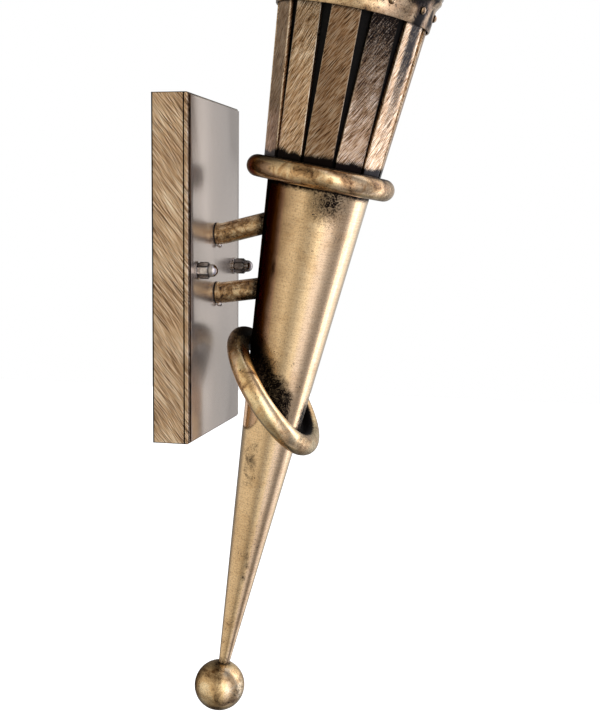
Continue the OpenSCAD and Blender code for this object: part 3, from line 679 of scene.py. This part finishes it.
def body_soot_and_shade(point):
    """Painted shade under the ring, at the arms and at the tip, painted shade and a painted reflection of the
    loop round the loop, a smudge below the ring and two dark patches on the room side.
    """
    local, _, angle = round_torch(point)
    under_ring = 1.35 * fade(-local.z - 6.5, 9) if local.z < 0 else 1.2
    blot = 0.98 * fade(abs(angle - 207) - 6, 30) ** 0.4 * fade(-local.z - 18, 20) ** 0.4
    ragged = 1 + 0.7 * noise.noise(local * 0.12)
    # Painted reflection of the loop and painted shade on the taper beside it.
    off_plane = abs((loop_inside @ point).z - 5)
    near_loop = max(1.4 * fade(on_loop(point), 7),
                    1.04 * fade(off_plane - 7, 19 * ragged) * (1 - 0.7 * fade(abs(angle - 236), 22)))
    arms = max(fade((point - end).length - 8, 9) for end in arm_ends)
    tip = 0.95 * fade(local.z + cone_len, 16)
    low_patch = 0.78 * fade(abs(local.z + 285) - 8, 22) * fade(abs(angle - 200) - 4, 22)
    high_patch = 0.7 * fade(abs(local.z + 205) - 10, 26) * fade(abs(angle - 160) - 14, 20)
    patches = low_patch + high_patch + 0.3 * noise.noise(local * 0.2)
    return max(under_ring, blot, near_loop, arms, tip, patches)


def body_wall_side_shade(point):
    """Painted shade: dark brown on the wall side, from the ring down to the loop, with a dimmed reflection.
    """
    local, _, angle = round_torch(point)
    ragged = 5 * noise.noise(local * 0.09)
    return fade(off_wall_side(angle) - 57 - ragged, 31) * fade(-local.z - 125, 40)


steps = 120
outside = [(cone_r(z), z) for z in [-cone_len + (cone_len + cone_lip) * i / steps for i in range(steps + 1)]]
wall = cone_wall / cos(half_angle)
inside_line = [(r - wall, z) for r, z in reversed(outside)]
body_brass = rubbed_brass("rubbed_brass_body", ("#95693c", "#e3bd88", "#f3d19f"), 34, 0.3, 0.62, 0.14,
                          brush=(1 / 11, 1 / 0.9, 1), bump_mm=0.01)
body = to_object("brass_torch_body", turned(rounded(outside, 0.3, 2) + inside_line, torch, 128), [body_brass],
                 40)
turned_uv(body, 150)
marked(body, "soot_and_shade", body_soot_and_shade)
marked(body, "painted_shade", body_wall_side_shade)
settle(body, "lamp", "antique_brass", "cone_body")
dress("finial_stud", brass)

# ---------------------------------------------------------------- ball finial
# A ball pressed from two brass cups and turned smooth, screwed under the point.
ball_r = 18.6
ball_z = -cone_len - sqrt(ball_r ** 2 - tip_r ** 2)
ball_bore_r, ball_bore_z = 2.1, -cone_len - 14.2


def ball_painted_shade(point):
    """Painted shade under the point, and cloudy painted shade that deepens on the wall side, underneath and
    on the room side.
    """
    local = torch_inside @ point - Vector((0, 0, ball_z))
    painted_dark = (local.y * 0.85 - local.z * 0.5) / ball_r + 0.5 * noise.noise(local * 0.13)
    clouds = 0.5 + 0.3 * max(0.0, min(1.0, painted_dark))
    room_side = 0.8 * max(0.0, min(1.0, -2.4 * local.y / ball_r - 0.9))
    return max(1.1 * fade((local - Vector((0, 0, ball_r))).length - 3, 7), clouds, room_side)


def ball_wall_side_shade(point):
    """Painted shade: brown on the side that faces the wall."""
    return 0.7 * max(0.0, min(1.0, 2.2 * (torch_inside @ point).y / ball_r - 1.0))


top_angle = acos(tip_r / ball_r)
arc = [(ball_r * cos(a), ball_z + ball_r * sin(a))
       for a in [top_angle - (top_angle + pi / 2) * i / 64 for i in range(64)]]
bore = [(0, ball_z - ball_r), (0, ball_bore_z), (ball_bore_r, ball_bore_z), (ball_bore_r, -cone_len - 0.02)]
ball_brass = rubbed_brass("rubbed_brass_ball", ("#7d5832", "#efc890", "#ffe8bc"), 17, 0.43, 0.6, 0.15, 0.1)
ball = to_object("brass_ball_finial", turned(arc + bore, torch, 96), [ball_brass], 40)
marked(ball, "soot_and_shade", ball_painted_shade)
marked(ball, "painted_shade", ball_wall_side_shade)
settle(ball, "lamp", "antique_brass", "ball_finial")

# ---------------------------------------------------------------- rings
# Both rings are 15 mm brass bar, bent round and brazed shut. The upper one sits at the mouth of the taper
# and carries the slats; the loop has dropped over the taper and rests on it at front and back.


def bar_ring(name, place, material, soot_and_shade, painted_shade, node):
    """A ring of round bar about the Z axis of a place, with its layers of black marks and painted shade."""
    bm = bmesh.new()
    bars = []
    for way in [Matrix.Rotation(2 * pi * i / 160, 4, "Z") for i in range(160)]:
        slice_of_bar = [(ring_r + ring_bar_r * cos(2 * pi * j / 40), 0, ring_bar_r * sin(2 * pi * j / 40))
                        for j in range(40)]
        bars.append([bm.verts.new(place @ way @ Vector(spot)) for spot in slice_of_bar])
    walled(bm, bars, True)
    piece = to_object(name, bm, [material], 60)
    marked(piece, "soot_and_shade", soot_and_shade)
    marked(piece, "painted_shade", painted_shade)
    settle(piece, "lamp", "antique_brass", node)


def ring_painted_shade(point):
    """Painted shade, black, under the slats' feet and inside the ring, with two painted dark reflections
    across its room side.
    """
    local, r, angle = round_torch(point)
    return max(1.0 * fade(local.z - 6.2, -1) if local.z > 6.4 else 0.0, 0.95 * fade(r - mouth_r - 0.4, 3.2),
               0.68 * fade(abs(angle - 237) - 8, 12), 0.8 * fade(abs(angle - 258) - 8, 30))


def ring_wall_side_shade(point):
    """Painted shade: brown on the side that faces the wall."""
    return 0.85 * fade(off_wall_side(round_torch(point)[2]) - 38, 40)


def loop_painted_shade(point):
    """Painted shade, black, along the loop's inner side, at its top, on its room side and where it lies on
    the taper.
    """
    local, r, _ = round_torch(point)
    spot = loop_inside @ point
    inner_side = 1.2 * fade(hypot(spot.x, spot.y) - ring_r + 5.2, 4)
    top = (1.35 + 0.5 * noise.noise(local * 0.1)) * fade(-local.z - 108, 34)
    room_side = 0.78 * max(0.0, min(1.0, (-local.y - 20) / 8))
    return max(inner_side, top, room_side, 1.2 * fade(r - cone_r(local.z), 3))


def loop_upper_shade(point):
    """Painted shade: brown on the upper part of the loop, which leans to the wall."""
    return 0.8 * fade(-(torch_inside @ point).z - 108, 22)


ring_brass = rubbed_brass("rubbed_brass_rings", ("#74502d", "#d6aa74", "#f8d7a4"), 11, 0.38, 0.585, 0.16, 0.3)
loop_brass = rubbed_brass("rubbed_brass_loop", ("#7a5230", "#f0c58a", "#ffe4b0"), 14, 0.37, 0.6, 0.16, 0.2)
bar_ring("brass_upper_ring", torch, ring_brass, ring_painted_shade, ring_wall_side_shade, "upper_ring")
bar_ring("brass_lower_loop", loop, loop_brass, loop_painted_shade, loop_upper_shade, "lower_loop")

# ---------------------------------------------------------------- cup liner
# A cone of 1 mm steel sheet in matt black stove enamel, which shows as black between the slats. The enamel
# has an orange peel of about two millimetres and reflects very little.
slat_w, slat_t, slat_top = 19.5, 2.8, 127
flare = radians(5.8)
liner_t = 1
slat_foot_r = cone_r(cone_lip) + seat_gap + slat_t
foot_corner_r = hypot(slat_foot_r, slat_w / 2)
slat_foot_z = sqrt(ring_bar_r ** 2 - (ring_r - foot_corner_r) ** 2) + seat_gap
slat_len = (slat_top - slat_foot_z) / cos(flare)
liner_top = slat_top - 1


def slat_face_r(z):
    return slat_foot_r + (z - slat_foot_z) * tan(flare)


def liner_r(z):
    return slat_face_r(z) - slat_t / cos(flare) - seat_gap


enamel = clouded("matt_black_enamel", 520.0, 2.0, [(0.3, "#070605"), (0.7, "#100d0b")], 0.03, Roughness=0.75,
                 IOR=1.5, Specular_IOR_Level=0.15)
liner_wall = liner_t / cos(flare)
liner = turned([(liner_r(cone_lip), cone_lip), (liner_r(liner_top), liner_top),
                (liner_r(liner_top) - liner_wall, liner_top), (liner_r(cone_lip) - liner_wall, cone_lip)],
               torch, 128)
settle(to_object("black_cup_liner", liner, [enamel], 30), "lamp", "black_enamel", "cup_liner")

# ---------------------------------------------------------------- slats
# Twelve brass flats, 19.5 by 2.8 mm, sheared to length, scratch-brushed on the slant and rubbed bright
# along their edges. They stand on the ring, with black patina and painted shade at their feet, and each has
# its tone darkened by a painted shade of its own.
slat_count, slat_edge, slat_phase = 12, 0.5, radians(6.4)
band_low_z = 109
# Painted shade: how far each slat's tone is darkened, by its number round the torch.
slat_shade_tones = {0: 0.6, 1: 0.3, 2: 0.0, 10: 0.35, 11: 0.12}


def repeated(name, base, count, first_turn, materials):
    """Copies of a piece round the torch's axis, by a Geometry Nodes tree; each copy has its own order. The
    last material goes on the faces that are marked as worn."""
    tree = bpy.data.node_groups.new(name + "_fan", "GeometryNodeTree")
    for label, kind, way in (("Geometry", "NodeSocketGeometry", "INPUT"), ("Count", "NodeSocketInt", "INPUT"),
                             ("First turn", "NodeSocketFloat", "INPUT"),
                             ("Body", "NodeSocketMaterial", "INPUT"),
                             ("Worn edge", "NodeSocketMaterial", "INPUT"),
                             ("Geometry", "NodeSocketGeometry", "OUTPUT")):
        tree.interface.new_socket(label, in_out=way, socket_type=kind)
    given = add_node(tree, "NodeGroupInput").outputs
    points = add_node(tree, "GeometryNodePoints", Count=given["Count"])
    index = add_node(tree, "GeometryNodeInputIndex")
    share = add_node(tree, "Math", index, given["Count"], operation="DIVIDE")
    turn = add_node(tree, "Math", share, 2 * pi, given["First turn"], operation="MULTIPLY_ADD")
    spin = add_node(tree, "CombineXYZ", Z=turn)
    copies = add_node(tree, "GeometryNodeInstanceOnPoints", Points=points, Instance=given["Geometry"],
                      Rotation=spin)
    numbered = add_node(tree, "GeometryNodeStoreNamedAttribute", data_type="FLOAT", domain="INSTANCE",
                        Geometry=copies, Name="order", Value=index)
    real = add_node(tree, "GeometryNodeRealizeInstances", Geometry=numbered)
    whole = add_node(tree, "GeometryNodeSetMaterial", Geometry=real, Material=given["Body"])
    edge = add_node(tree, "GeometryNodeInputNamedAttribute", data_type="BOOLEAN", Name="worn")
    dressed = add_node(tree, "GeometryNodeSetMaterial", Geometry=whole, Selection=edge.outputs["Attribute"],
                       Material=given["Worn edge"])
    add_node(tree, "NodeGroupOutput", Geometry=dressed)
    maker = base.modifiers.new("fan", "NODES")
    maker.node_group = tree
    sockets = {item.name: item.identifier for item in tree.interface.items_tree if item.in_out == "INPUT"}
    for label, value in (("Count", count), ("First turn", first_turn), ("Body", materials[0]),
                         ("Worn edge", materials[-1])):
        maker[sockets[label]] = value
    baked(base)
    base.data.transform(Matrix.Scale(0.001, 4) @ torch @ Matrix.Scale(1000, 4))
    base.name = name
    return base


def flat_bar(width, thickness, length, edge, foot):
    """One slat standing at its place on the ring, before it is turned: outer face towards +X."""
    bm = bmesh.new()
    half = width / 2
    outline = []
    for x, y, start in ((-edge, half - edge, 0), (-thickness + edge, half - edge, 90),
                        (-thickness + edge, -half + edge, 180), (-edge, -half + edge, 270)):
        outline += [(x + edge * cos(radians(start + 30 * i)), y + edge * sin(radians(start + 30 * i)))
                    for i in range(4)]
    outline += [(0, (edge - half) * (1 - 2 * i / 12)) for i in range(1, 12)]
    rows = [[bm.verts.new(foot @ Vector((x, y, length * k / 40))) for x, y in outline] for k in range(41)]
    walled(bm, rows)
    for end in (0, -1):
        bm.faces.new(rows[end])
    return bm


def which_slat(point):
    """The slat's number round the torch, how far across the slat the point is, and the point in its frame."""
    local = torch_inside @ point
    turn = (degrees(atan2(local.y, local.x)) - 180 - degrees(slat_phase) + 15) % 360
    return int(turn // 30), hypot(local.x, local.y) * sin(radians(turn % 30 - 15)), local


def slat_patina_and_shade(point):
    """Black patina and painted shade at the foot, in a ragged edge, painted dark reflections down some slats
    below the band, and a painted shadow along the band's lower edge.
    """
    number, across, local = which_slat(point)
    ragged = 9 * noise.noise(Vector((local.x, local.y, 0)) * 0.11) + {0: 4, 11: 2, 10: -2}.get(number, 0)
    foot = 1.6 * fade(local.z - slat_foot_z - 1, max(2.0, 8 + ragged))
    below = band_low_z - local.z
    # Painted dark reflections down some slats, by their number round the torch.
    painted_dark = {1: 1.05 * fade(below, 220), 2: 1.05 * fade(abs(across - 1.5) - 4, 7) * fade(below - 20, 170),
              0: 0.62 * fade(below, 260), 10: 0.7 * fade(abs(across - 5) - 1, 3),
              11: 0.82 * fade(below, 210)}
    return max(foot, painted_dark.get(number, 0.3), 0.95 * fade(abs(below), 3))

slat_foot = Matrix.Translation((slat_foot_r, 0, slat_foot_z)) @ Matrix.Rotation(flare, 4, "Y")
slat = to_object("slat", flat_bar(slat_w, slat_t, slat_len, slat_edge, slat_foot), [], 60)
on_slat = slat_foot.inverted()
outward = (slat_foot.to_3x3() @ Vector((1, 0, 0))).normalized()
sheet_uv(slat.data, lambda p, n: ((on_slat @ p).y + (0 if n.dot(outward) > 0 else 300),
                                  (on_slat @ p).z + (on_slat @ p).x))
worn = slat.data.attributes.new("worn", "BOOLEAN", "FACE")
for face in slat.data.polygons:
    toward = face.normal.dot(outward)
    worn.data[face.index].value = 0.2 < toward < 0.97
bright_edge = rubbed_brass("rubbed_brass_edges", ("#a08058", "#e6c9a0", "#fbe6c6"), 11, 0.4, 0.55, 0.24)
slat_brass = brushed_brass("brushed_antique_brass_slats", radians(30), 0.42, 13, 0.08)
slats = repeated("brass_slats", slat, slat_count, pi + slat_phase, [slat_brass, bright_edge])
marked(slats, "soot_and_shade", slat_patina_and_shade)
marked(slats, "painted_shade", lambda point: slat_shade_tones.get(which_slat(point)[0], 0.4))
settle(slats, "lamp", "brushed_antique_brass", *["slat_%02d" % i for i in range(1, slat_count + 1)])

# ---------------------------------------------------------------- rim band
# A 20 mm strip of brass sheet, rolled to the slats' flare, with its upper edge curled over a wire.
band_h, band_over, band_t, bead_r = 20, 2, 1.2, 1.8
band_top = slat_top + band_over
band_low = band_top - band_h
band_in_top = hypot(slat_face_r(slat_top), slat_w / 2) + seat_gap + band_over * tan(flare)


def band_in_r(z):
    return band_in_top - (band_top - z) * tan(flare)


band_wall = band_t / cos(flare)
bead = [(band_in_top + bead_r + bead_r * cos(a), band_top + bead_r * sin(a))
        for a in [radians(-52 + 8.5 * i) for i in range(27)]]
band_line = ([(band_in_r(band_low) + 0.3, band_low), (band_in_r(band_low) + band_wall - 0.3, band_low),
              (band_in_r(band_low) + band_wall, band_low + 0.35)]
             + [(band_in_r(z) + band_wall, z) for z in (band_low + 5, band_low + 10, band_low + 15)]
             + bead + [(band_in_r(band_low), band_low + 0.3)])
band_brass = rubbed_brass("rubbed_brass_band", ("#6f4e31", "#c99f6e", "#f2d0a0"), 12, 0.38, 0.55, 0.24,
                          brush=(1 / 14, 1 / 1.1, 1))
band = to_object("brass_rim_band", turned(band_line, torch, 160), [band_brass], 45)
turned_uv(band, 340)


def band_painted_reflection(point):
    """Painted dark reflection, in blotches, on the room side, over a faint painted shade all round."""
    local, _, angle = round_torch(point)
    blotch = 0.65 + 0.9 * noise.noise(local * 0.11)
    return 0.4 + 0.82 * blotch * fade(abs(angle - 250) - 12, 20)


marked(band, "soot_and_shade", band_painted_reflection)
settle(band, "lamp", "antique_brass", "rim_band")

# ---------------------------------------------------------------- rivets
# Round-headed brass rivets, one through each slat, hammered over inside the liner and stained dark.
rivet_head_r, rivet_head_h, rivet_r = 2.7, 2.0, 1.5
rivet_tail_r, rivet_tail_h = 2.3, 1.0
rivet_z = band_low + band_h / 2
rivet = bmesh.new()
head_x = (band_in_r(rivet_z) + band_wall - slat_face_r(rivet_z)) * cos(flare) + 0.05
tail_x = -slat_t - seat_gap - liner_t - 0.1
dome_r = (rivet_head_r ** 2 + rivet_head_h ** 2) / (2 * rivet_head_h)
dome_line = [(sqrt(max(0.0, dome_r ** 2 - (h + dome_r - rivet_head_h) ** 2)), head_x + h)
             for h in [rivet_head_h * sin(i * pi / 20) for i in range(11)]]
rivet_place = (slat_foot @ Matrix.Translation((0, 0, (rivet_z - slat_foot_z) / cos(flare)))
               @ Matrix.Rotation(pi / 2, 4, "Y"))
turned([(0, tail_x - rivet_tail_h), (rivet_tail_r - 0.2, tail_x - rivet_tail_h), (rivet_tail_r, tail_x - 0.6),
        (rivet_tail_r, tail_x), (rivet_r, tail_x), (rivet_r, head_x)] + dome_line[:-1]
       + [(0, head_x + rivet_head_h)], rivet_place, 28, None, False, rivet)
dark_brass = rubbed_brass("dark_brass_rivets", ("#3a2819", "#a8845a", "#e2c394"), 3, 0.42, 0.6, 0.24)
rivets = repeated("brass_band_rivets", to_object("rivet", rivet, [], 40), slat_count, pi + slat_phase,
                  [dark_brass])


def rivet_painted_shadow(point):
    """Painted shadow: black round the foot of each head, where it meets the band."""
    local, r, _ = round_torch(point)
    return 1.4 * fade((r - band_in_r(local.z) - band_wall) * cos(flare) - 0.35, 0.8)


marked(rivets, "soot_and_shade", rivet_painted_shadow)
settle(rivets, "lamp", "dark_brass", "band_rivets")

# ---------------------------------------------------------------- holder plate and nipple
# A pierced disc of enamelled steel wedged across the liner, with a threaded tube through its middle and a
# nut below it.
dress("holder_plate", enamel)
dress("holder_nipple", brass)
nipple_nut_z = 67
plain_nuts("zinc_nipple_nut", [torch @ Matrix.Translation((0, 0, nipple_nut_z))], lock_nut_h, lock_nut_flats,
           arm_thread_r, "nipple_nuts")

# ---------------------------------------------------------------- lamp holder
# A screw lamp holder of glazed porcelain: a narrow base, a sloping shoulder and a skirt with a rounded lip.
# The glaze is glossy and a little uneven over a cream body.
holder_foot_z, holder_h, holder_r, holder_floor = 71.5, 42, 20, 12
holder_bore_r, holder_bore_h, holder_base_r = 5.05, 9.65, 14
cap_d, cap_play, shell_t, shell_gap = 26.2, 0.35, 0.6, 0.05
cavity_r = cap_d / 2 + cap_play + shell_t + shell_gap
porcelain = clouded("glazed_porcelain", 90.0, 3.0, [(0.3, "#e6e1d4"), (0.7, "#f3efe5")], 0.05, Roughness=0.14,
                    IOR=1.52)
holder_line = rounded([(0, holder_bore_h), (holder_bore_r, holder_bore_h), (holder_bore_r, 0),
                       (holder_base_r, 0), (holder_base_r, 3), (holder_r, 9), (holder_r, holder_h),
                       (cavity_r, holder_h), (cavity_r, holder_floor), (0, holder_floor)], 0.8, 4)
holder_place = torch @ Matrix.Translation((0, 0, holder_foot_z))
lamp_holder = to_object("porcelain_lamp_holder", turned(holder_line, holder_place, 96, None, False),
                        [porcelain], 40)
settle(lamp_holder, "lamp", "porcelain", "lamp_holder")
dress("holder_shell", brass)
dress("holder_contact", brass)

# ---------------------------------------------------------------- bulb
# A pear-shaped opal bulb of soda glass, frosted white inside under a smooth skin. It is cemented into a
# screw cap of thin rolled aluminium, a soft bright grey, with a thread of 3.6 mm pitch.
bulb_r, bulb_len, cap_len, cap_r = 29, 104, 26, 13.1
contact_h, contact_gap = 2.4, 0.3
cap_z = holder_foot_z + holder_floor + contact_h + contact_gap
bulb_centre = cap_z + bulb_len - bulb_r
thread_pitch, thread_depth, cap_skirt_z = 3.6, 1.1, cap_z + 2


def screw_cap():
    """The cap's shell with its rolled thread, turned in at the top, and the tip below it."""
    bm = bmesh.new()
    rows = 96
    shares = [i / 64 for i in range(64)]

    def ring(z, radii):
        return [bm.verts.new(torch @ Vector((r * cos(2 * pi * share), r * sin(2 * pi * share), z)))
                for r, share in zip(radii, shares)]

    shell = []
    for k in range(rows + 1):
        z = cap_skirt_z + (cap_z + cap_len - cap_skirt_z) * k / rows
        ends = max(0.0, min(1.0, (z - cap_skirt_z) / 3, (cap_z + cap_len - z) / 4))
        waves = [0.5 - 0.5 * cos(2 * pi * (z / thread_pitch - share)) for share in shares]
        shell.append(ring(z, [cap_r - thread_depth * ends * wave for wave in waves]))
    shell.append(ring(cap_z + cap_len, [cap_r - 0.6] * 64))
    walled(bm, shell)
    bm.faces.new(shell[-1])
    tip = [shell[0], ring(cap_z + 1.2, [5] * 64), ring(cap_z, [4.2] * 64)]
    walled(bm, tip)
    bm.faces.new(tip[-1])
    return bm


aluminium = clouded("rolled_aluminium", 300.0, 3.0, [(0.3, "#c9c9c6"), (0.7, "#dededb")], 0.01, Metallic=1.0,
                    Roughness=0.28)
settle(to_object("aluminium_bulb_cap", screw_cap(), [aluminium], 40), "bulb", "bulb_metal", "bulb_cap")
opal_glass = clouded("opal_bulb_glass", 60.0, 2.0, [(0.3, "#f1ecdf"), (0.7, "#faf7ee")], 0.02, Roughness=0.16,
                     IOR=1.5)
foot_z = cap_z + cap_len
neck_lean = radians(22)
meet_z, meet_r = bulb_centre - bulb_r * sin(neck_lean), bulb_r * cos(neck_lean)
bulb_out = ([(cap_r - 0.02, foot_z)] + [(cap_r + (meet_r - cap_r) * t, foot_z + (meet_z - foot_z) * t)
                                        for t in [i / 10 for i in range(1, 11)]]
            + [(bulb_r * cos(a), bulb_centre + bulb_r * sin(a))
               for a in [-neck_lean + (pi / 2 + neck_lean) * i / 40 for i in range(1, 40)]]
            + [(0, bulb_centre + bulb_r)])
bulb_in = [(bulb_out[-1][0], bulb_out[-1][1] - 1)] + [
    (r - 1 * cos(atan2(z - bulb_centre, r)) if z > meet_z else r - 1,
     z - 1 * sin(atan2(z - bulb_centre, r)) if z > meet_z else z) for r, z in reversed(bulb_out[:-1])]
glass_bulb = turned(bulb_out, torch, 96, None, False)
turned(bulb_in, torch, 96, None, False, glass_bulb)
bulb_rim = [v for v in glass_bulb.verts if (torch_inside @ v.co).z < foot_z + 0.001]
walled(glass_bulb, [bulb_rim[:96], bulb_rim[96:]])
settle(to_object("opal_bulb", glass_bulb, [opal_glass], 60), "bulb", "opal_glass", "bulb_glass")

# ---------------------------------------------------------------- glass flame
# A shade of blown glass, frosted inside: a neck that drops into the cup, a flange on the band's bead and a
# flame drawn to a point.
neck_depth, flange_h, glass_t = 20, 3.4, 2.6
flame_h, flame_r_max = 165, 62
flame_rise, flame_fall, flame_start = 0.5, 0.85, 0.14
flame_peak = flame_rise / (flame_rise + flame_fall)
flange_z = band_top + bead_r + seat_gap
flange_r = band_in_top + 2 * bead_r + 0.6
neck_r = liner_r(liner_top - neck_depth) - liner_wall - 2


def flame_r(u):
    return flame_r_max * (u / flame_peak) ** flame_rise * ((1 - u) / (1 - flame_peak)) ** flame_fall


def flame_z(u):
    return flange_z + flange_h + (u - flame_start) / (1 - flame_start) * flame_h


def frosted_glass():
    """Clear soda glass etched inside, so that light passes and shapes behind it blur."""
    material, tree = new_material("frosted_flame_glass")
    seeds = add_node(tree, "TexNoise", Vector=add_node(tree, "TexCoord").outputs["Object"], Scale=45.0,
                     Detail=3.0)
    return finish(material, seeds, 0.1, IOR=1.5, Transmission_Weight=0.72,
                  Base_Color=colour_ramp(tree, seeds, [(0.3, "#f3efe6"), (0.7, "#fbf9f3")]),
                  Roughness=colour_ramp(tree, seeds, [(0.3, 0.42), (0.7, 0.34)]))


def wall_in(r, z, u):
    """The radius inside the flame's wall, at a share u of the way up, for glass of even thickness."""
    step = 0.002
    u = min(u, 1 - 2 * step)
    slope = (flame_r(u + step) - flame_r(u)) / (flame_z(u + step) - flame_z(u))
    return r - glass_t * sqrt(1 + slope ** 2)


flame_us = [flame_start + (1 - flame_start) * i / 60 for i in range(61)]
flame_out = [(flame_r(u), flame_z(u)) for u in flame_us[:-1]]

flame_in = [(wall_in(r, z, u), z) for (r, z), u in zip(flame_out, flame_us)]
flame_in = [(r, z) for r, z in flame_in if r > 0.8]
low_z = liner_top - neck_depth
neck = rounded([(neck_r - glass_t, low_z), (neck_r, low_z), (neck_r, flange_z), (flange_r, flange_z),
                (flange_r, flange_z + flange_h), flame_out[0]], 0.9, 4)
shade_line = ([(neck_r - glass_t, low_z + 2)] + neck[1:] + flame_out[1:] + [(0, flame_z(1))])
shade = turned(shade_line, torch, 144, None, False)
inner_line = ([(0, flame_in[-1][1] + 0.8)] + flame_in[::-1][:-1]
              + rounded([flame_in[1], (flame_in[0][0], flange_z + flange_h), (neck_r - glass_t, flange_z),
                         (neck_r - glass_t, low_z + 2)], 2, 4)[1:])
turned(inner_line, torch, 144, None, False, shade)
flame = to_object("glass_flame", shade, [frosted_glass()], 40)
settle(flame, "shade", "frosted_glass", "glass_shade")

# ---------------------------------------------------------------- studio
# A pale floor well below the lamp and an even white background. The light is soft: a tall softbox on the
# room side, a broad one in front, and a dim dome that is darker towards the wall and the floor.
floor_mesh = bpy.data.meshes.new("floor")
reach, floor_z = 9, -1.45
floor_mesh.from_pydata([(-reach, -reach, floor_z), (reach, -reach, floor_z), (reach, reach, floor_z),
                        (-reach, reach, floor_z)], [], [(0, 1, 2, 3)])
floor = bpy.data.objects.new("floor", floor_mesh)
bpy.context.collection.objects.link(floor)
floor.visible_glossy = False
floor_paint, _ = new_material("pale_floor")
floor_mesh.materials.append(finish(floor_paint, Base_Color=linear("#f4f3f1"), Roughness=0.9,
                                   Emission_Color=linear("#ffffff"), Emission_Strength=0.9))

world = bpy.data.worlds.new("studio")
bpy.context.scene.world = world
world.use_nodes = True
sky = world.node_tree
sky.nodes.clear()
look = add_node(sky, "TexCoord").outputs["Generated"]
to_camera, to_its_right = Vector((-cos(yaw), -sin(yaw), 0)), Vector((sin(yaw), -cos(yaw), 0))
facing, beside = [add_node(sky, "VectorMath", look, way, operation="DOT_PRODUCT").outputs["Value"]
                  for way in (to_camera, to_its_right)]
bearing = add_node(sky, "Math", beside, facing, operation="ARCTAN2")
round_share = add_node(sky, "Math", bearing, 1 / (2 * pi), 0.5, operation="MULTIPLY_ADD")
warm, plain, cool = (1.0, 0.95, 0.88), (1.0, 1.0, 1.0), (1.0, 1.02, 1.25)
dome = colour_ramp(sky, round_share, [
    (0.5 + angle / 360, tuple(light / 2 * part for part in tint)) for angle, light, tint in (
        (-180, 0.15, plain), (-150, 0.2, plain), (-128, 0.35, warm), (-108, 0.8, warm), (-66, 0.85, warm),
        (-48, 0.82, warm), (-34, 0.83, warm), (-16, 0.6, warm), (-2, 0.64, plain), (9, 1.0, plain),
        (20, 1.35, plain), (36, 1.42, cool), (46, 1.36, cool), (56, 0.86, cool), (66, 0.58, cool),
        (76, 0.46, cool), (86, 0.5, cool), (96, 1.05, cool), (118, 1.75, cool), (134, 1.3, plain),
        (150, 0.6, plain), (166, 0.5, plain), (180, 0.3, plain))])
height = add_node(sky, "SeparateXYZ", look).outputs["Z"]
climb = add_node(sky, "Math", height, 0.5, 0.5, operation="MULTIPLY_ADD")
fall = colour_ramp(sky, climb, [(0.06, 0.3), (0.2, 0.64), (0.32, 0.9), (0.42, 1.0), (0.62, 1.0), (0.9, 0.5)])
soft = add_node(sky, "Background", mixed(sky, "MULTIPLY", 1.0, dome, fall), 2.0)
white = add_node(sky, "Background", (1, 1, 1, 1), 1.0)
seen = add_node(sky, "LightPath").outputs["Is Camera Ray"]
add_node(sky, "OutputWorld", Surface=add_node(sky, "MixShader", seen, soft, white))


def softbox(name, angle, distance, width, tall, height, power):
    """A square softbox at an angle round the lamp from the camera's side, turned to face it."""
    toward = to_camera * cos(radians(angle)) + to_its_right * sin(radians(angle))
    lamp = bpy.data.lights.new(name, "AREA")
    lamp.shape = "RECTANGLE"
    lamp.size, lamp.size_y = width, tall
    lamp.energy = power
    holder = bpy.data.objects.new(name, lamp)
    target = Vector((0, -0.1, 0.0))
    holder.location = target + toward * distance + Vector((0, 0, height))
    holder.rotation_mode = "QUATERNION"
    holder.rotation_quaternion = (target - holder.location).to_track_quat("-Z", "Y")
    holder.visible_camera = False
    bpy.context.collection.objects.link(holder)


softbox("side_softbox", 108, 1.3, 0.5, 2.0, 0.1, 3)
softbox("front_softbox", 28, 1.6, 0.8, 1.8, 0.3, 2)
bpy.context.scene.view_settings.view_transform = "Standard"
